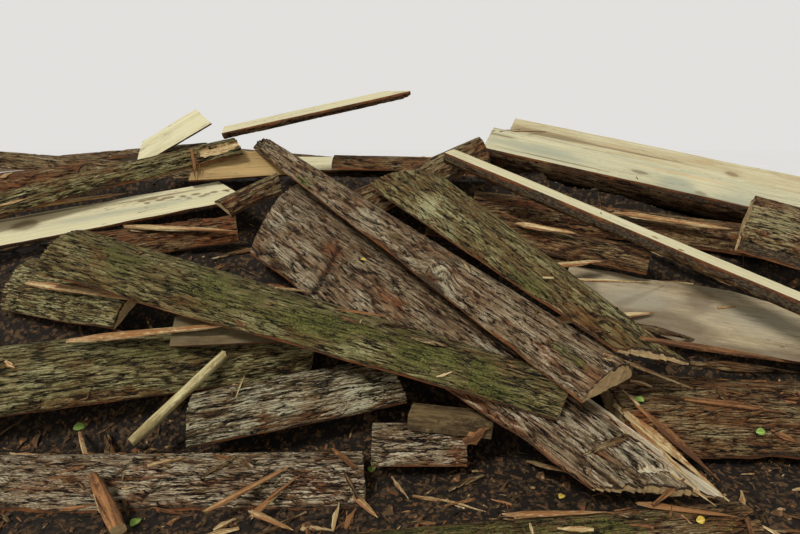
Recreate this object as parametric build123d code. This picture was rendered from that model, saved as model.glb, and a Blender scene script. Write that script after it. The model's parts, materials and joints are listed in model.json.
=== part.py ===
from build123d import *
import math
import os
import numpy as np

# A heap of bark-covered sawmill slabs, edgings and splinters, lying loose on level ground.
# X runs to the right along the front, Y away from the front, Z up. The origin is on the
# ground under the middle of the heap. All lengths are in mm and all angles in degrees.

# How the pieces bear on each other
seat = 0.3
facet_angle = 5.0
tip_range = 6.0
tip_steps = 12

# Plain core that stands for the hidden inner pieces: a low mound with a second step on it
core_length = 4700
core_depth = 2450
core_height = 600
core_middle_x = 50
core_middle_y = 50
core_end_slope = 450
core_front_slope = 680
core_back_slope = 620
step_length = 2500
step_depth = 700
step_height = 240
step_middle_x = -450
step_middle_y = 190
step_slope = 120

# Sheet of trodden bark crumbs under the heap; its margins are measured from the core's edges
litter_depth = 14
litter_front = 600
litter_back = 340
litter_side = 400
litter_slope = 60

# Edges of the core where it stands, from which the outer rows are placed
front_edge = core_middle_y - core_depth / 2
back_edge = core_middle_y + core_depth / 2
left_edge = core_middle_x - core_length / 2
right_edge = core_middle_x + core_length / 2

# Broad slab with deep furrows, bark up, running down the front to the foot of the heap
broad_length = 1930
broad_width = 560
broad_thick = 88
broad_taper = 0.57

# Slab with the big knot, bark up, lying along the broad slab
knotted_length = 2080
knotted_width = 120
knotted_thick = 48
knotted_taper = 2.2

# Slab with a splinter tip, bark up, right of the knotted slab
tipped_length = 1360
tipped_width = 360
tipped_thick = 80
tipped_taper = 0.5

# Short slab that crosses behind the others and points up to the right
crossing_length = 750
crossing_width = 210
crossing_thick = 90

# Long mossy slab across the front
mossy_length = 1980
mossy_width = 285
mossy_thick = 76
mossy_taper = 0.72

# Long pale slab at the left, sawn face up
pale_length = 2400
pale_width = 210
pale_thick = 62

# Upper bark slab at the left, with torn fibres at its end
upper_length = 2250
upper_width = 165
upper_thick = 60
upper_taper = 0.85

# High slab that sticks out over the left side, sawn face up
high_length = 900
high_width = 165
high_thick = 48

# Two long pale slabs at the right, sawn face up
right_length = 2500
right_front_width = 300
right_front_thick = 150
right_back_width = 330
right_back_thick = 125

# Long narrow edging at the right
edging_length = 2050
edging_width = 70
edging_thick = 66

# Slabs on the left slope
left_length = 2150
left_width = 330
left_thick = 85
fine_length = 620
fine_width = 290
fine_thick = 62
ridged_length = 720
ridged_width = 245
ridged_thick = 70

# Slabs along the foot of the front
foot_length = 2400
foot_width = 310
foot_thick = 92
stub_length = 320
stub_width = 265
stub_thick = 78
front_length = 1150
front_width = 165
front_thick = 60

# Slabs on the right slope
weathered_length = 1300
weathered_width = 290
weathered_thick = 70
low_right_length = 2000
low_right_width = 380
low_right_thick = 100
chunk_length = 400
chunk_width = 300
chunk_thick = 185

# Short and half hidden slabs between the large ones
shaded_length = 420
shaded_width = 190
shaded_thick = 60
short_length = 300
short_width = 130
short_thick = 48
tip_length = 400
tip_width = 180
tip_thick = 50
olive_length = 520
olive_width = 150
olive_thick = 55
middle_length = 1150
middle_width = 200
middle_thick = 95
under_length = 1500
under_width = 240
under_thick = 75
inner_length = 900
inner_width = 250
inner_thick = 66
brown_length = 640
brown_width = 170
brown_thick = 55
prop_length = 520
prop_width = 260
prop_thick = 110
ridge_length = 1400
ridge_width = 230
ridge_thick = 58

# Beam, lath and wedge lying on the front
beam_length = 280
beam_width = 95
beam_thick = 60
lath_length = 430
lath_side = 26
wedge_length = 290
wedge_width = 36
wedge_thick = 34

# Common stock of the hidden side: slabs as a small mill leaves them
stock_length = 2200
stock_width = 260
stock_thick = 80
rear_pitch = 0.71
rear_shift = 120
strip_width = 55
strip_thick = 24
splinter_width = 34
splinter_thick = 14


class Body:
    """A convex piece as points, outward planes and edges, for finding where it comes to rest."""

    def __init__(self, near, far):
        count = len(near)
        self.points = np.vstack([near, far])
        around = np.arange(count)
        after = (around + 1) % count
        middle = self.points.mean(axis=0)
        triples = [(i, j, i + count) for i, j in zip(around, after)]
        triples.append((0, count // 3, 2 * count // 3))
        triples.append((count, count + count // 3, count + 2 * count // 3))
        corners = self.points[np.array(triples)]
        normals = np.cross(corners[:, 1] - corners[:, 0], corners[:, 2] - corners[:, 0])
        normals /= np.linalg.norm(normals, axis=1)[:, None]
        outward = np.sign(np.einsum("ij,ij->i", normals, corners[:, 0] - middle))
        self.normals = normals * outward[:, None]
        self.offsets = np.einsum("ij,ij->i", self.normals, corners[:, 0])
        starts = np.concatenate([around, around + count, around])
        ends = np.concatenate([after, after + count, around + count])
        self.edge_start = self.points[starts]
        self.edge_run = self.points[ends] - self.points[starts]
        self.low = self.points.min(axis=0)
        self.high = self.points.max(axis=0)

    def span(self, places):
        """Lowest and highest height of the body over each place, or an empty span beside it."""
        reach = self.offsets[None, :] - places[:, :2] @ self.normals[:, :2].T
        rise = self.normals[:, 2]
        top = np.min(reach[:, rise > 1e-9] / rise[rise > 1e-9], axis=1)
        bottom = np.max(reach[:, rise < -1e-9] / rise[rise < -1e-9], axis=1)
        beside = np.any(reach[:, np.abs(rise) <= 1e-9] < 0, axis=1)
        return bottom, np.where(beside, -np.inf, top)


def free_drop(upper, lower):
    """How far the upper body can fall straight down before it meets the lower one."""
    if np.any(upper.high[:2] < lower.low[:2]) or np.any(lower.high[:2] < upper.low[:2]):
        return np.inf
    best = np.inf
    bottom, top = lower.span(upper.points)
    over = bottom <= top
    if over.any():
        best = min(best, np.min(upper.points[over, 2] - top[over]))
    bottom, top = upper.span(lower.points)
    over = bottom <= top
    if over.any():
        best = min(best, np.min(bottom[over] - lower.points[over, 2]))
    p, r = upper.edge_start[:, None, :], upper.edge_run[:, None, :]
    q, s = lower.edge_start[None, :, :], lower.edge_run[None, :, :]
    turn = r[..., 0] * s[..., 1] - r[..., 1] * s[..., 0]
    turn = np.where(np.abs(turn) < 1e-9, np.nan, turn)
    gap = q - p
    along_upper = (gap[..., 0] * s[..., 1] - gap[..., 1] * s[..., 0]) / turn
    along_lower = (gap[..., 0] * r[..., 1] - gap[..., 1] * r[..., 0]) / turn
    cross = (along_upper >= 0) & (along_upper <= 1) & (along_lower >= 0) & (along_lower <= 1)
    if cross.any():
        rise = p[..., 2] + along_upper * r[..., 2] - q[..., 2] - along_lower * s[..., 2]
        best = min(best, np.min(rise[cross]))
    return best


class Piece:
    """One slab, strip or splinter: its section, its length, its cut ends and how it lies."""

    def __init__(self, length, width, thick, taper=1.0, skew=(0, 0), bevel=(0, 0),
                 bark_up=True, squared=False):
        self.length = length
        self.width = width
        self.thick = thick
        self.taper = taper
        self.skew = [math.tan(math.radians(a)) for a in skew]
        self.bevel = [math.tan(math.radians(a)) for a in bevel]
        self.side = 1 if bark_up else -1
        self.squared = squared

    def outline(self):
        """Straight-sided outline that just holds the section, across and up."""
        half = self.width / 2
        if self.squared:
            low, high = -self.thick / 2, self.thick / 2
            return np.array([(half, low), (half, high), (-half, high), (-half, low)])
        radius = (half**2 + self.thick**2) / (2 * self.thick)
        half_angle = math.atan2(half, radius - self.thick)
        count = math.ceil(2 * math.degrees(half_angle) / facet_angle)
        step = 2 * half_angle / count
        corner = radius / math.cos(step / 2)
        angles = half_angle - step * (np.arange(count) + 0.5)
        arc = np.column_stack([corner * np.sin(angles), corner * np.cos(angles)])
        arc[:, 1] += self.thick - radius
        points = np.vstack([[(half, 0)], arc, [(-half, 0)]])
        points[:, 1] *= self.side
        return points

    def end_rings(self):
        """The outline where it meets the two cut ends: along, across and up."""
        outline = self.outline()
        growth = (self.taper - 1) / self.length
        rings = []
        for end, place in enumerate((-self.length / 2, self.length / 2)):
            lean = self.skew[end] * outline[:, 0] + self.bevel[end] * outline[:, 1]
            along = (place + lean * (1 + growth * self.length / 2)) / (1 - lean * growth)
            scale = 1 + growth * (along + self.length / 2)
            rings.append(np.column_stack([along, outline * scale[:, None]]))
        return rings

    def axes(self, heading, tilt, roll):
        """Unit vectors along, across and up for a piece with this heading, tilt and roll."""
        h, t, r = (math.radians(a) for a in (heading, tilt, roll))
        along = np.array([math.cos(h) * math.cos(t), math.sin(h) * math.cos(t), math.sin(t)])
        level = np.array([-math.sin(h), math.cos(h), 0.0])
        up = np.cross(along, level)
        across = math.cos(r) * level + math.sin(r) * up
        return along, across, np.cross(along, across)

    def body(self, middle, heading, tilt, roll):
        frame = np.array(self.axes(heading, tilt, roll))
        near, far = (ring @ frame + np.array(middle) for ring in self.end_rings())
        return Body(near, far)

    def balance(self):
        """Distance of the centre of mass from the middle, along the piece."""
        along = np.linspace(-self.length / 2, self.length / 2, 41)
        weight = (1 + (self.taper - 1) * (along / self.length + 0.5)) ** 2
        return float(np.sum(along * weight) / np.sum(weight))

    def section_wire(self, along, scale):
        half, thick = self.width / 2 * scale, self.thick * scale
        if self.squared:
            corners = [(half, -thick / 2), (half, thick / 2), (-half, thick / 2), (-half, -thick / 2)]
            return Wire.make_polygon([(along, a, u) for a, u in corners], close=True)
        left, right = (along, -half, 0), (along, half, 0)
        crown = (along, 0, thick * self.side)
        return Wire([Edge.make_three_point_arc(right, crown, left), Edge.make_line(left, right)])

    def solid(self, middle, heading, tilt, roll):
        """The exact solid, cut at its ends and put where the piece lies."""
        lean = [abs(s) * self.width + abs(b) * self.thick for s, b in zip(self.skew, self.bevel)]
        spare = max(lean) * max(1, self.taper)
        growth = (self.taper - 1) / self.length
        start, stop = -self.length / 2 - spare, self.length / 2 + spare
        first = self.section_wire(start, 1 + growth * (start + self.length / 2))
        if self.taper == 1:
            shape = Solid.extrude(Face(first), Vector(stop - start, 0, 0))
        else:
            last = self.section_wire(stop, 1 + growth * (stop + self.length / 2))
            shape = Solid.make_loft([first, last], ruled=True)
        if spare:
            for end, sign in ((0, -1), (1, 1)):
                normal = Vector(1, -self.skew[end], -self.bevel[end]) * sign
                cut = Plane(origin=(sign * self.length / 2, 0, 0), z_dir=normal)
                shape = shape.split(cut, keep=Keep.BOTTOM)
        along, _, up = self.axes(heading, tilt, roll)
        return Plane(origin=tuple(middle), x_dir=tuple(along), z_dir=tuple(up)).location * shape


class Heap:
    """The pieces laid so far, each resting on those laid before it or on the crumbs below."""

    def __init__(self):
        self.bodies = []
        self.nodes = {}
        self.places = []

    def add(self, node, shape, bodies):
        self.nodes.setdefault(node, []).append(shape)
        self.bodies.extend(bodies)

    def rest_height(self, piece, x, y, heading, tilt, roll):
        """Height of the middle of a piece that is let down in this attitude until it bears."""
        body = piece.body((x, y, 0), heading, tilt, roll)
        drop = min([body.low[2] - litter_depth] + [free_drop(body, other) for other in self.bodies])
        return seat - drop

    def lay(self, node, piece, at, heading=0, tilt=0, roll=0, free=tip_range):
        """Let a piece down at a place, tip it about its bearing by up to the free angle, and keep it."""
        x, y = at
        balance = piece.balance()

        def height(angle):
            rest = self.rest_height(piece, x, y, heading, angle, roll)
            return rest + balance * math.sin(math.radians(angle))

        low, high = tilt - free, tilt + free
        share = (math.sqrt(5) - 1) / 2
        for _ in range(tip_steps if free else 0):
            reach = (high - low) * share
            if height(high - reach) < height(low + reach):
                high = low + reach
            else:
                low = high - reach
        angle = (low + high) / 2
        z = self.rest_height(piece, x, y, heading, angle, roll)
        self.places.append((node, x, y, z, heading, angle, roll, piece))
        body = piece.body((x, y, z), heading, angle, roll)
        self.add(node, piece.solid((x, y, z), heading, angle, roll), [body])


def frustum(length, depth, height, middle, bottom, slopes):
    """A block with sloping sides, as a solid and as a body; slopes are end, front and back runs."""
    end, front, back = slopes
    x, y = middle
    low = [(x - length / 2, y - depth / 2), (x + length / 2, y - depth / 2),
           (x + length / 2, y + depth / 2), (x - length / 2, y + depth / 2)]
    top = [(x - length / 2 + end, y - depth / 2 + front), (x + length / 2 - end, y - depth / 2 + front),
           (x + length / 2 - end, y + depth / 2 - back), (x - length / 2 + end, y + depth / 2 - back)]
    near = np.array([(a, b, bottom) for a, b in low], dtype=float)
    far = np.array([(a, b, bottom + height) for a, b in top], dtype=float)
    wires = [Wire.make_polygon([tuple(p) for p in ring], close=True) for ring in (near, far)]
    return Solid.make_loft(wires, ruled=True), Body(near, far)


def lay_litter(heap):
    """A thin sheet on the ground, which everything else lies on."""
    middle_y = core_middle_y + (litter_back - litter_front) / 2
    sheet, _ = frustum(core_length + 2 * litter_side, core_depth + litter_front + litter_back, litter_depth,
                       (core_middle_x, middle_y), 0, (litter_slope, litter_slope, litter_slope))
    heap.add("litter_sheet", sheet, [])


def lay_core(heap):
    bottom = litter_depth + seat
    mound, mound_body = frustum(core_length, core_depth, core_height, (core_middle_x, core_middle_y), bottom,
                                (core_end_slope, core_front_slope, core_back_slope))
    step, step_body = frustum(step_length, step_depth, step_height, (step_middle_x, step_middle_y),
                              bottom + core_height + seat, (step_slope, step_slope, step_slope))
    heap.add("heap_core", mound, [mound_body])
    heap.add("heap_core", step, [step_body])


def lay_strips(heap, node, places, end_share):
    """Thin strips of one node, each given by its place, heading and length."""
    for at, heading, length in places:
        strip = Piece(length, strip_width, strip_thick, taper=end_share, squared=True)
        heap.lay(node, strip, at, heading=heading, roll=15)


def lay_foot(heap):
    """Slabs and sticks that lie on the crumbs along the front."""
    foot_y = front_edge - 220
    front_y = front_edge - 480
    foot = Piece(foot_length, foot_width, foot_thick, skew=(6, -4))
    heap.lay("foot_slab", foot, (-1310, foot_y), heading=1, free=0)
    stub = Piece(stub_length, stub_width, stub_thick, skew=(0, 5))
    heap.lay("foot_stub", stub, (65, front_edge - 70), heading=1, free=0)
    front = Piece(front_length, front_width, front_thick, taper=0.9, skew=(12, -8))
    heap.lay("front_slab", front, (430, front_y), heading=8, free=0)
    low_right = Piece(low_right_length, low_right_width, low_right_thick, skew=(-12, 5))
    heap.lay("low_right_slab", low_right, (1730, front_edge + 5), heading=-3, roll=24)
    wedge = Piece(wedge_length, wedge_width, wedge_thick, taper=1.5, squared=True)
    heap.lay("wedge_splinter", wedge, (-855, foot_y - 170), heading=-50, tilt=-24, free=14)
    sticks = [((-442, foot_y - 125), 43, 340), ((-386, foot_y - 165), 61, 170),
              ((-354, foot_y - 255), -27, 180), ((436, front_y + 30), 3, 330),
              ((808, front_y + 45), -13, 300), ((-99, foot_y - 170), -51, 150)]
    for at, heading, length in sticks:
        stick = Piece(length, splinter_width, splinter_thick, taper=0.45, squared=True)
        heap.lay("front_sticks", stick, at, heading=heading)


def lay_left_slope(heap):
    left = Piece(left_length, left_width, left_thick, skew=(0, 12))
    heap.lay("left_slope_slab", left, (-1370, front_edge + 85), heading=12, tilt=4, roll=33)
    fine = Piece(fine_length, fine_width, fine_thick, skew=(-10, 8))
    heap.lay("fine_bark_slab", fine, (-1310, -745), heading=-19, tilt=-9, roll=38)
    ridged = Piece(ridged_length, ridged_width, ridged_thick, skew=(8, -14))
    heap.lay("ridged_slab", ridged, (-370, front_edge + 45), heading=14, tilt=8, roll=27)
    lath = Piece(lath_length, lath_side, lath_side, squared=True)
    heap.lay("lath", lath, (-757, front_edge), heading=41, tilt=27)
    olive = Piece(olive_length, olive_width, olive_thick, skew=(0, 10), bark_up=False)
    heap.lay("left_under_slab", olive, (-565, front_edge + 175), heading=7, tilt=2, roll=34)
    inner = Piece(inner_length * 0.7, inner_width * 0.8, inner_thick * 0.6)
    heap.lay("left_inner_slabs", inner, (-1040, -455), heading=13, roll=38)
    pale = Piece(pale_length, pale_width, pale_thick, skew=(0, -30), bark_up=False)
    heap.lay("long_pale_slab", pale, (-1920, -570), heading=19, tilt=7, roll=30, free=2)
    strips = [((-1130, -880), -17, 780), ((-860, -1050), 0, 700), ((-953, -480), 0, 540),
              ((-1483, -330), 25, 500)]
    lay_strips(heap, "left_strips", strips, 0.5)


def lay_right_slope(heap):
    weathered = Piece(weathered_length, weathered_width, weathered_thick, bark_up=False)
    heap.lay("weathered_slab", weathered, (1290, -880), heading=-12, tilt=-5, roll=48, free=3)
    beam = Piece(beam_length, beam_width, beam_thick, squared=True)
    heap.lay("short_beam", beam, (170, front_edge - 87), heading=-12, roll=4)


def lay_inner(heap):
    """Slabs and strips that show in the gaps under the large ones."""
    shaded = Piece(shaded_length, shaded_width, shaded_thick, skew=(20, -15), bark_up=False)
    heap.lay("shaded_slab", shaded, (-800, -75), heading=22, tilt=4, roll=46, free=2)
    middle = Piece(middle_length, middle_width, middle_thick, bark_up=False)
    heap.lay("middle_back_slab", middle, (-300, 400), heading=0, tilt=1, roll=20, free=3)
    filler = Piece(inner_length * 0.75, inner_width, inner_thick)
    heap.lay("middle_inner_slab", filler, (-20, 240), heading=-3, roll=4)
    for at, heading, roll in (((430, -470), -27, 20), ((700, -620), -20, 30)):
        brown = Piece(brown_length, brown_width, brown_thick)
        heap.lay("brown_slabs", brown, at, heading=heading, tilt=-14, roll=roll)
    under = Piece(under_length, under_width, under_thick)
    heap.lay("right_under_slab", under, (1080, -350), heading=-12, tilt=-9, roll=25, free=3)
    strips = [((1180, -480), -20, 520), ((1200, -640), -44, 380), ((770, -850), 0, 480),
              ((600, -640), -28, 300), ((650, -760), 0, 360), ((1340, -640), -28, 260)]
    lay_strips(heap, "right_strips", strips, 0.6)


def lay_front(heap):
    """The big slabs that run down the front."""
    broad = Piece(broad_length, broad_width, broad_thick, taper=broad_taper, skew=(-34, 46))
    heap.lay("broad_slab", broad, (101, front_edge + 217), heading=-42, tilt=-20, roll=15, free=4)
    mossy = Piece(mossy_length, mossy_width, mossy_thick, taper=mossy_taper, skew=(5, 10))
    heap.lay("mossy_slab", mossy, (-396, front_edge + 124), heading=-16.5, tilt=-9, roll=30, free=3)


def lay_upper(heap):
    """The long slabs over the front ones."""
    short = Piece(short_length, short_width, short_thick, skew=(-10, 20))
    heap.lay("short_slab", short, (-690, -270), heading=34, tilt=23, roll=35, free=2)
    crossing = Piece(crossing_length, crossing_width, crossing_thick, skew=(0, 12))
    heap.lay("crossing_slab", crossing, (84, -171), heading=19, tilt=23, roll=20, free=2)
    knotted = Piece(knotted_length, knotted_width, knotted_thick, taper=knotted_taper, skew=(0, 5))
    heap.lay("knotted_slab", knotted, (-20, -645), heading=-45.8, tilt=-19, roll=8, free=4)
    tipped = Piece(tipped_length, tipped_width, tipped_thick, taper=tipped_taper, skew=(28, 48))
    heap.lay("tipped_slab", tipped, (425, -830), heading=-54, tilt=-23, roll=12, free=3)


def lay_left_top(heap):
    """The pale and bark slabs that run off to the left above the slope."""
    upper = Piece(upper_length, upper_width, upper_thick, taper=upper_taper, skew=(0, -5))
    heap.lay("upper_bark_slab", upper, (-1790, -500), heading=25, tilt=10, roll=35, free=3)
    high = Piece(high_length, high_width, high_thick, skew=(0, -40), bark_up=False)
    heap.lay("high_pale_slab", high, (-450, 60), heading=7, tilt=13.5, roll=14, free=1)


def lay_right_top(heap):
    prop = Piece(prop_length, prop_width, prop_thick)
    heap.lay("right_prop_slab", prop, (640, 400), heading=-12)
    front = Piece(right_length, right_front_width, right_front_thick, bark_up=False)
    heap.lay("right_front_slab", front, (1640, -200), heading=-14, tilt=-12, roll=20, free=3)
    back = Piece(right_length, right_back_width, right_back_thick, bark_up=False)
    heap.lay("right_back_slab", back, (1800, 92), heading=-14, tilt=-12, roll=20, free=3)
    chunk = Piece(chunk_length, chunk_width, chunk_thick)
    heap.lay("end_chunk", chunk, (1530, -775), heading=-28, tilt=-8, roll=10)
    edging = Piece(edging_length, edging_width, edging_thick, bark_up=False)
    heap.lay("long_edging", edging, (1040, -795), heading=-33, tilt=-17, roll=10, free=2)


def lay_ridge(heap):
    """Slabs stacked along the top of the heap, behind the front ones."""
    inner = Piece(inner_length, inner_width, inner_thick)
    heap.lay("left_inner_slabs", inner, (-2050, -30), heading=4, roll=42)
    rows = [((-1830, 200), 8, 12), ((-1780, 430), -3, -6), ((-400, 650), 4, -20)]
    for at, heading, roll in rows:
        piece = Piece(ridge_length, ridge_width, ridge_thick)
        heap.lay("ridge_slabs", piece, at, heading=heading, roll=roll)
    tip = Piece(tip_length, tip_width, tip_thick, skew=(30, -12), bark_up=False)
    heap.lay("pale_tip_slab", tip, (-1230, 250), heading=12, tilt=32, roll=42, free=2)


def lay_rear(heap):
    """Rows of slabs up the hidden side, with a few that cross them."""
    rows = [("rear_foot_slabs", back_edge + 115, 0), ("rear_middle_slabs", back_edge - 215, -40),
            ("rear_upper_slabs", back_edge - 475, -38)]
    pitch = rear_pitch * stock_length
    for row, (node, y, roll) in enumerate(rows):
        for place in range(3):
            piece = Piece(stock_length * (0.7 + 0.1 * ((row + place) % 3)), stock_width + 20 * row,
                          stock_thick, taper=0.86, skew=(8 * place - 8, 6), bark_up=(row + place) % 3 > 0)
            x = core_middle_x + pitch * (place - 1) + rear_shift * (row - 0.6)
            heap.lay(node, piece, (x, y), heading=3 * place - 3, roll=roll)
    for place, (x, heading) in enumerate(((-1250, 62), (-50, 114), (1250, 70))):
        piece = Piece(stock_length * 0.55, stock_width * 0.8, stock_thick, taper=1.3, bark_up=place != 1)
        heap.lay("rear_crossing_slabs", piece, (x, back_edge - 145), heading=heading, tilt=-30, roll=6)


def lay_ends(heap):
    ends = [("left_end_slabs", 2, -1, left_edge + 40, 84, 400),
            ("right_end_slabs", 2, 1, right_edge - 60, 98, 210)]
    for node, count, side, x, heading, back in ends:
        for place in range(count):
            piece = Piece(stock_length * (0.5 - 0.06 * place), stock_width, stock_thick, skew=(10, -8))
            at = (x - side * 130 * place, 480 + back * place)
            heap.lay(node, piece, at, heading=heading + 9 * place, roll=side * 40)


def build():
    heap = Heap()
    lay_litter(heap)
    lay_core(heap)
    lay_foot(heap)
    lay_left_slope(heap)
    lay_right_slope(heap)
    lay_inner(heap)
    lay_rear(heap)
    lay_ends(heap)
    lay_front(heap)
    lay_upper(heap)
    lay_left_top(heap)
    lay_right_top(heap)
    lay_ridge(heap)
    return heap


def write(heap):
    os.makedirs("parts", exist_ok=True)
    for name, shapes in heap.nodes.items():
        export_step(shapes[0] if len(shapes) == 1 else Compound(children=shapes), f"parts/{name}.step")


heap = build()
write(heap)
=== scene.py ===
import json
import math
import bmesh
import bpy
import numpy as np
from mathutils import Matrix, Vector
from mathutils.bvhtree import BVHTree


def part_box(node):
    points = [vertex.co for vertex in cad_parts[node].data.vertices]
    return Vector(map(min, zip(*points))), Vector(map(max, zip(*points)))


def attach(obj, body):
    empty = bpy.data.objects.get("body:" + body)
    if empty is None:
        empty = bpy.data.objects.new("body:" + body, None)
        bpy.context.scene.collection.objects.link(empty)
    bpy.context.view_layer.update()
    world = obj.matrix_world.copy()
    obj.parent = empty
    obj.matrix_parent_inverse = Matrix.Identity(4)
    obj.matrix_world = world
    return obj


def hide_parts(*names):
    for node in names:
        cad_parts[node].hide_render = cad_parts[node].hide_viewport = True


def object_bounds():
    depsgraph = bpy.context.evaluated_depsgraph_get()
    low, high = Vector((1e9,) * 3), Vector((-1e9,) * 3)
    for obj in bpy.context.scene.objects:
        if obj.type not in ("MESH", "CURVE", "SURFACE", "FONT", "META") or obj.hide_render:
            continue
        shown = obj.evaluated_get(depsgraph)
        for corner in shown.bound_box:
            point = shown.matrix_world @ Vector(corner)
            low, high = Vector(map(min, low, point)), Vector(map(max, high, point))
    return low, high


# A heap of bark-covered sawmill slabs, edgings and splinters. Each slab is read from its solid
# in the frame, then cut again as a fine mesh: furrowed bark, torn rims, end grain and sawn face.
# Lengths are in metres. A slab has its own axes: along it, across it and up through its bark.

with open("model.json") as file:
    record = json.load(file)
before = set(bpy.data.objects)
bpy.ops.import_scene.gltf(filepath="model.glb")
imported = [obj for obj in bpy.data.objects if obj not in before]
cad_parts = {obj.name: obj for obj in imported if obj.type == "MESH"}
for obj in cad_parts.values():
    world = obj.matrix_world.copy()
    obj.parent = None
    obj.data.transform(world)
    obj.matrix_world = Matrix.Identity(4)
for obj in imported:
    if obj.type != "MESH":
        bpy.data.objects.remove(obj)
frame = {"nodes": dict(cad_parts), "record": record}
cad_box = [list(corner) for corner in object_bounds()]

bark_part, rim_part, sawn_part, end_part, bare_part = range(5)
sharp_edge = math.radians(62)

# Seeds move the noise by these many metres, so that no two slabs or sticks look the same
slab_shift, stick_shift = 3.7, 2.3


# Patterns worked out in numbers. A whole number added to a seed keeps one pattern from another.

def chance(ix, iy, seed):
    """A steady random number from 0 to 1 for each whole-number cell."""
    n = (np.asarray(ix).astype(np.int64) * 374761393 + np.asarray(iy).astype(np.int64) * 668265263
         + seed * 69069) & 0xFFFFFFFF
    n = ((n ^ (n >> 13)) * 1274126177) & 0xFFFFFFFF
    return ((n ^ (n >> 16)) & 0xFFFF) / 65535.0


def swell(x, y, seed):
    """Smooth hills and hollows from -1 to 1, about one to each unit."""
    x, y = np.broadcast_arrays(np.asarray(x, float), np.asarray(y, float))
    ix, iy = np.floor(x), np.floor(y)
    fx, fy = x - ix, y - iy
    fx, fy = fx * fx * (3 - 2 * fx), fy * fy * (3 - 2 * fy)
    low = chance(ix, iy, seed) * (1 - fx) + chance(ix + 1, iy, seed) * fx
    high = chance(ix, iy + 1, seed) * (1 - fx) + chance(ix + 1, iy + 1, seed) * fx
    return 2 * (low * (1 - fy) + high * fy) - 1


def coarse(x, y, seed, layers=4):
    """Hills with smaller hills on them, from about -1 to 1."""
    total, size, weight = 0, 1.0, 0.5
    for layer in range(layers):
        total = total + weight * swell(np.asarray(x) * size, np.asarray(y) * size, seed + 31 * layer)
        size, weight = size * 2.03, weight * 0.5
    return total


def hills(x, y, seed, layers):
    """The same hills from about 0 to 1."""
    return 0.5 + 0.5 * coarse(x, y, seed, layers)


def ramp(value, low, high):
    """0 below low, 1 above high, and smooth between."""
    t = np.clip((value - low) / (high - low), 0, 1)
    return t * t * (3 - 2 * t)


# The camera, which also places marks on the slabs

eye = np.array([0.0, -3.2, 1.114])
pitch = math.radians(12)
focal = 628.0
picture_width, picture_height = 800, 534


def sight(px, py):
    """The direction of the camera's sight line through a place in its picture."""
    forward = np.array([0, math.cos(pitch), -math.sin(pitch)])
    upward = np.array([0, math.sin(pitch), math.cos(pitch)])
    rightward = np.array([1.0, 0, 0])
    line = (forward + rightward * (px - picture_width / 2) / focal
            - upward * (py - picture_height / 2) / focal)
    return line / np.linalg.norm(line)


# Reading the frame's solids

def unit(v):
    return v / np.linalg.norm(v)


def store(mesh, key, values):
    """Keeps a number for each point of a mesh, for the materials and the chips."""
    stored = mesh.attributes.new(key, "FLOAT", "POINT")
    stored.data.foreach_set("value", values.astype(np.float32))


def face_outward(mesh):
    """Turns every face of a closed mesh outward."""
    work = bmesh.new()
    work.from_mesh(mesh)
    bmesh.ops.recalc_face_normals(work, faces=work.faces)
    work.to_mesh(mesh)
    work.free()


def turns(count):
    """Angles spread evenly round a ring."""
    return (np.arange(count) * 2 * math.pi / count)[None, :]


def ring_quads(rings):
    """The four-sided faces between each closed ring of point numbers and the next."""
    a, b = rings[:-1], rings[1:]
    return np.stack([a, np.roll(a, -1, axis=1), np.roll(b, -1, axis=1), b], axis=-1)


def solids_of(node):
    """The separate solids of a CAD node, each as its corner points and triangles."""
    mesh = frame["nodes"][node].data
    points = np.empty(len(mesh.vertices) * 3)
    mesh.vertices.foreach_get("co", points)
    points = points.reshape(-1, 3)
    mesh.calc_loop_triangles()
    faces = np.empty(len(mesh.loop_triangles) * 3, int)
    mesh.loop_triangles.foreach_get("vertices", faces)
    steps_per_metre = 20000
    _, first, joined = np.unique(np.round(points * steps_per_metre), axis=0, return_index=True,
                                 return_inverse=True)
    points, faces = points[first], joined.reshape(-1)[faces].reshape(-1, 3)
    label, settled = np.arange(len(points)), False
    while not settled:
        before = label.copy()
        lowest = label[faces].min(axis=1)
        for corner in range(3):
            np.minimum.at(label, faces[:, corner], lowest)
        label = label[label]
        settled = (label == before).all()
    found = []
    for island in np.unique(label):
        mine = faces[label[faces[:, 0]] == island]
        used, mine = np.unique(mine, return_inverse=True)
        found.append((points[used], mine.reshape(-1, 3)))
    return found


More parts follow.
